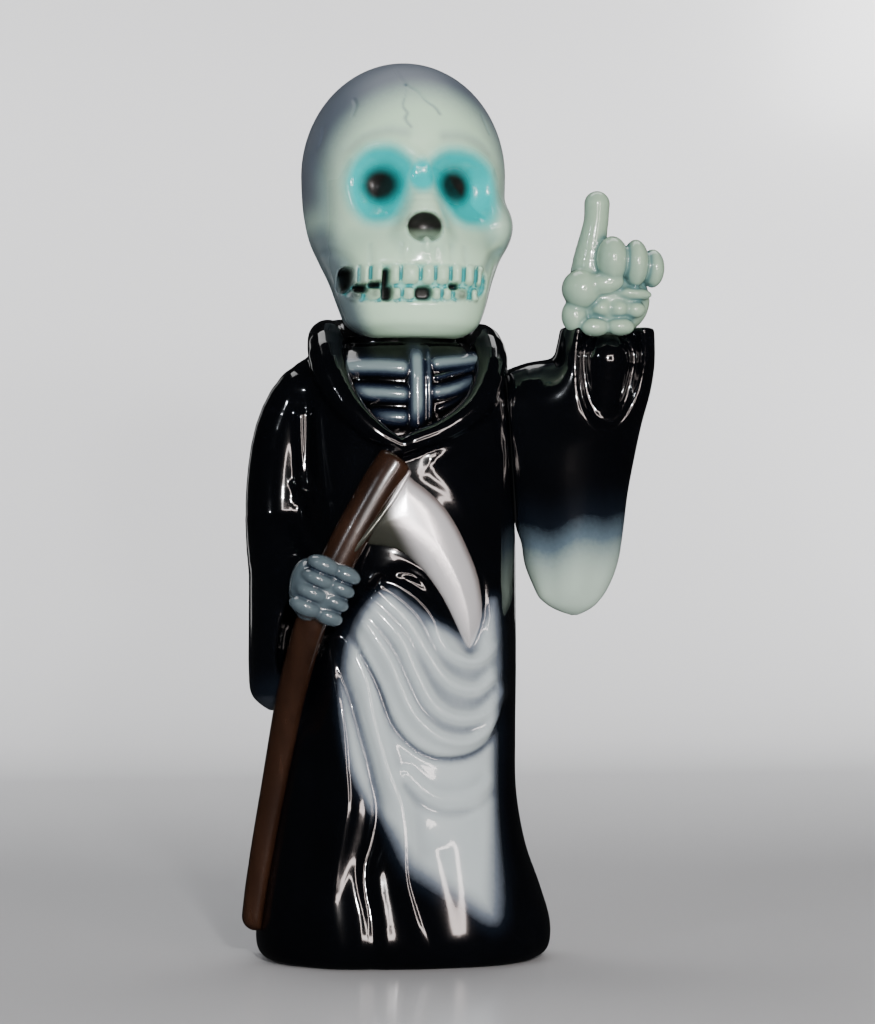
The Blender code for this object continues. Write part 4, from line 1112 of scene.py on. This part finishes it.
def grip_material():
    paint = Paint("gripping_hand_airbrush_and_shade", 0.15)
    base = paint.mix(paint.noise(150.0), (0.055, 0.080, 0.098), (0.13, 0.172, 0.184))
    # Painted shade on the grip: darker in its grooves, below and towards the figure's right
    return paint.done(paint.mix(paint.grain(paint.tone("cool")), base, (0.012, 0.020, 0.034)))


def shaft_material():
    paint = Paint("shaft_brown_and_shade", 0.26, 0.15)
    grain = paint.noise(220.0, 6.0, (1.0, 1.0, 0.12))
    colour = paint.ramp(grain, ((0.30, (0.013, 0.0055, 0.0030)), (0.55, (0.022, 0.0095, 0.0050)),
                                (0.75, (0.034, 0.0150, 0.0080))))
    # Painted shade: darker in the grooves along the shaft
    return paint.done(paint.mix(paint.tone("crease"), colour, (0.008, 0.004, 0.004)))


def blade_material():
    paint = Paint("blade_silver_and_painted_light", 0.24, 0.35, 0.5)
    # Silver kept near white, which also paints the highlight of the bright band
    silver = paint.mix(paint.noise(90.0), (0.92, 0.91, 0.92), (0.84, 0.83, 0.85))
    # Painted shade on the inner side
    colour = paint.mix(paint.tone("dark"), silver, (0.055, 0.058, 0.046))
    # Painted reflection along the outer edge, warmer and darker
    colour = paint.mix(paint.math("MULTIPLY", paint.tone("rim"), 0.85), colour, (0.24, 0.185, 0.17))
    return paint.done(colour, 700.0, 0.10)


# The pieces

def place(piece, material, slot, *nodes):
    piece.data.materials.append(material)
    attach(piece, "root")
    if nodes:
        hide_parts(*nodes)


ROBE_PAINT = ((0.0, BLACK), (0.25, NAVY), (0.6, BLUE_GREY), (1.0, PALE_GREY))
SLEEVE_PAINT_STOPS = ((0.0, BLACK), (0.3, NAVY), (0.6, (0.085, 0.125, 0.155)), (1.0, (0.42, 0.54, 0.46)))

robe = sculpt("robe", robe_field, (-46, -36, -2), (42, 34, 176), 0.77, pale=robe_pale)
# The robe's paint carries painted shade in its creases and fold valleys
place(robe, robe_material("robe_airbrush_and_shade", ROBE_PAINT), "black_gloss", "robe_body")
ribs = sculpt("rib_cage", rib_field, (-27, -27, 135), (27, -4, 168), 0.4, pale=rib_pale)
place(ribs, rib_material(), "black_gloss")
skull = sculpt("skull", skull_field, (-30, -36, 162), (30, 40, 242), 0.48,
               shade=skull_shade, teal=skull_teal, black=skull_black, matte=skull_matte)
place(skull, skull_material(), "bone_gloss", "skull_head")
sleeve = sculpt("raised_sleeve", left_sleeve_field, (22, -24, 88), (70, 14, 172), 0.55, pale=sleeve_pale)
place(sleeve, robe_material("sleeve_airbrush", SLEEVE_PAINT_STOPS), "black_gloss", "raised_arm")
hand = sculpt("raised_hand", left_hand_field, (36, -28, 160), (70, 2, 208), 0.36,
              cool=hand_painted_shade, foot=hand_foot)
place(hand, hand_material(), "bone_gloss")
shaft = sculpt("scythe_shaft", shaft_field, (-48, -34, 6), (0, 0, 140), 0.5)
place(shaft, shaft_material(), "black_gloss")
blade = sculpt("scythe_blade", blade_field, (-20, -33, 80), (20, -2, 134), 0.42,
               dark=blade_shaded_side, rim=blade_rim_reflection)
place(blade, blade_material(), "black_gloss")
grip = sculpt("gripping_hand", hand_field, (-38, -36, 84), (-12, -14, 114), 0.32, cool=hand_painted_shade)
place(grip, grip_material(), "black_gloss")


# Stage, light and camera

FLOOR_FRONT = -1.8
WALL_BEND = 0.5
WALL_DISTANCE = 0.6
WALL_TOP = 2.6
HALF_WIDTH = 3.0
BEND_STEPS = 16


def build_stage():
    """A seamless paper backdrop: a floor that bends up into a wall."""
    profile = [(FLOOR_FRONT, 0.0), (WALL_DISTANCE, 0.0)]
    for step in range(1, BEND_STEPS + 1):
        turn = math.radians(90 * step / BEND_STEPS)
        profile.append((WALL_DISTANCE + WALL_BEND * math.sin(turn), WALL_BEND * (1 - math.cos(turn))))
    profile.append((WALL_DISTANCE + WALL_BEND, WALL_TOP))
    verts = [(x, y, z) for y, z in profile for x in (-HALF_WIDTH, HALF_WIDTH)]
    faces = [(2 * k, 2 * k + 1, 2 * k + 3, 2 * k + 2) for k in range(len(profile) - 1)]
    mesh = bpy.data.meshes.new("backdrop")
    mesh.from_pydata(verts, [], faces)
    mesh.polygons.foreach_set("use_smooth", np.ones(len(faces), bool))
    paper = Paint("backdrop_paper", 0.22, 0.0)
    tint = paper.mix(paper.noise(3.0, 2.0), (0.60, 0.60, 0.61), (0.64, 0.64, 0.65))
    mesh.materials.append(paper.done(tint, 500.0, 0.02))
    backdrop = bpy.data.objects.new("backdrop", mesh)
    bpy.context.scene.collection.objects.link(backdrop)
    backdrop.visible_glossy = False


def add_light(name, place, aim, size, power, colour=(1.0, 1.0, 1.0)):
    data = bpy.data.lights.new(name, "AREA")
    data.shape = "RECTANGLE"
    data.size, data.size_y = size
    data.energy = power
    data.color = colour
    light = bpy.data.objects.new(name, data)
    light.location = place
    light.rotation_euler = (Vector(aim) - Vector(place)).to_track_quat("-Z", "Y").to_euler()
    bpy.context.scene.collection.objects.link(light)
    return light


def add_frame_light(place, width, height, bar, power):
    """Four bars of light round an open middle, which a curved gloss mirrors as a bright outline."""
    facing = (Vector(FIGURE_MIDDLE) - Vector(place)).to_track_quat("-Z", "Y")
    area = 2 * bar * (width + height)
    for number, (x, y, size) in enumerate((
        (0, height / 2, (width, bar)), (0, -height / 2, (width, bar)),
        (width / 2, 0, (bar, height)), (-width / 2, 0, (bar, height)),
    )):
        there = Vector(place) + facing @ Vector((x, y, 0.0))
        share = size[0] * size[1] / area
        light = add_light(f"frame_light_{number}", there, there, size, power * share, WARM_WHITE)
        light.rotation_euler = facing.to_euler()


CAMERA_SENSOR = 36.0
CAMERA_LENS = 117.95
CAMERA_PLACE = (-0.1323, -0.8903, 0.1193)
CAMERA_TURN = -9


def build_camera():
    data = bpy.data.cameras.new("camera")
    data.sensor_width = CAMERA_SENSOR
    data.lens = CAMERA_LENS
    data.clip_start = 0.01
    camera = bpy.data.objects.new("camera", data)
    camera.location = CAMERA_PLACE
    camera.rotation_euler = (math.radians(90), 0.0, math.radians(CAMERA_TURN))
    bpy.context.scene.collection.objects.link(camera)
    bpy.context.scene.camera = camera


def build_world():
    """A plain pale surround that the gloss mirrors only faintly."""
    world = bpy.data.worlds.new("studio")
    nodes = Nodes(world)
    background = nodes.tree.nodes["Background"].inputs
    nodes.feed(background["Color"], (0.80, 0.82, 0.86))
    path = nodes.node("LightPath").outputs
    level = SOFT_FILL
    for ray, strength in (("Is Glossy Ray", DARK_ROOM), ("Is Camera Ray", PALE_ROOM)):
        level = nodes.node("Mix", Factor=path[ray], A=level, B=strength).outputs["Result"]
    nodes.feed(background["Strength"], level)
    bpy.context.scene.world = world


# How bright the surround is for soft light, for mirrored light and for the camera
SOFT_FILL = 0.25
DARK_ROOM = 0.015
PALE_ROOM = 0.8
FIGURE_MIDDLE = (0.0, 0.0, 0.12)
WARM_WHITE = (1.0, 0.86, 0.82)
COOL_WHITE = (0.88, 0.93, 1.0)

build_stage()
build_world()
add_light("flash", (-0.02, -0.98, 0.30), FIGURE_MIDDLE, (0.045, 0.03), 6.5)
add_light("left_window", (-0.80, -0.80, 0.50), FIGURE_MIDDLE, (0.025, 0.03), 1.6, COOL_WHITE)
add_frame_light((0.16, -0.95, 0.24), 0.38, 0.38, 0.055, 5.5)
add_light("top_softbox", (0.0, 0.40, 1.15), (0.0, 0.75, 0.0), (1.2, 0.7), 8.5)
for side, power in ((-1, 14.0), (1, 17.0)):
    add_light(f"wall_wash_{side}", (side * 0.8, 0.4, 0.7), (side * 0.8, 1.1, 0.5), (0.4, 0.4), power)
    add_light(f"back_strip_{side}", (side * 0.5, 0.95, 0.35), FIGURE_MIDDLE, (0.12, 0.6), 0.22)
build_camera()
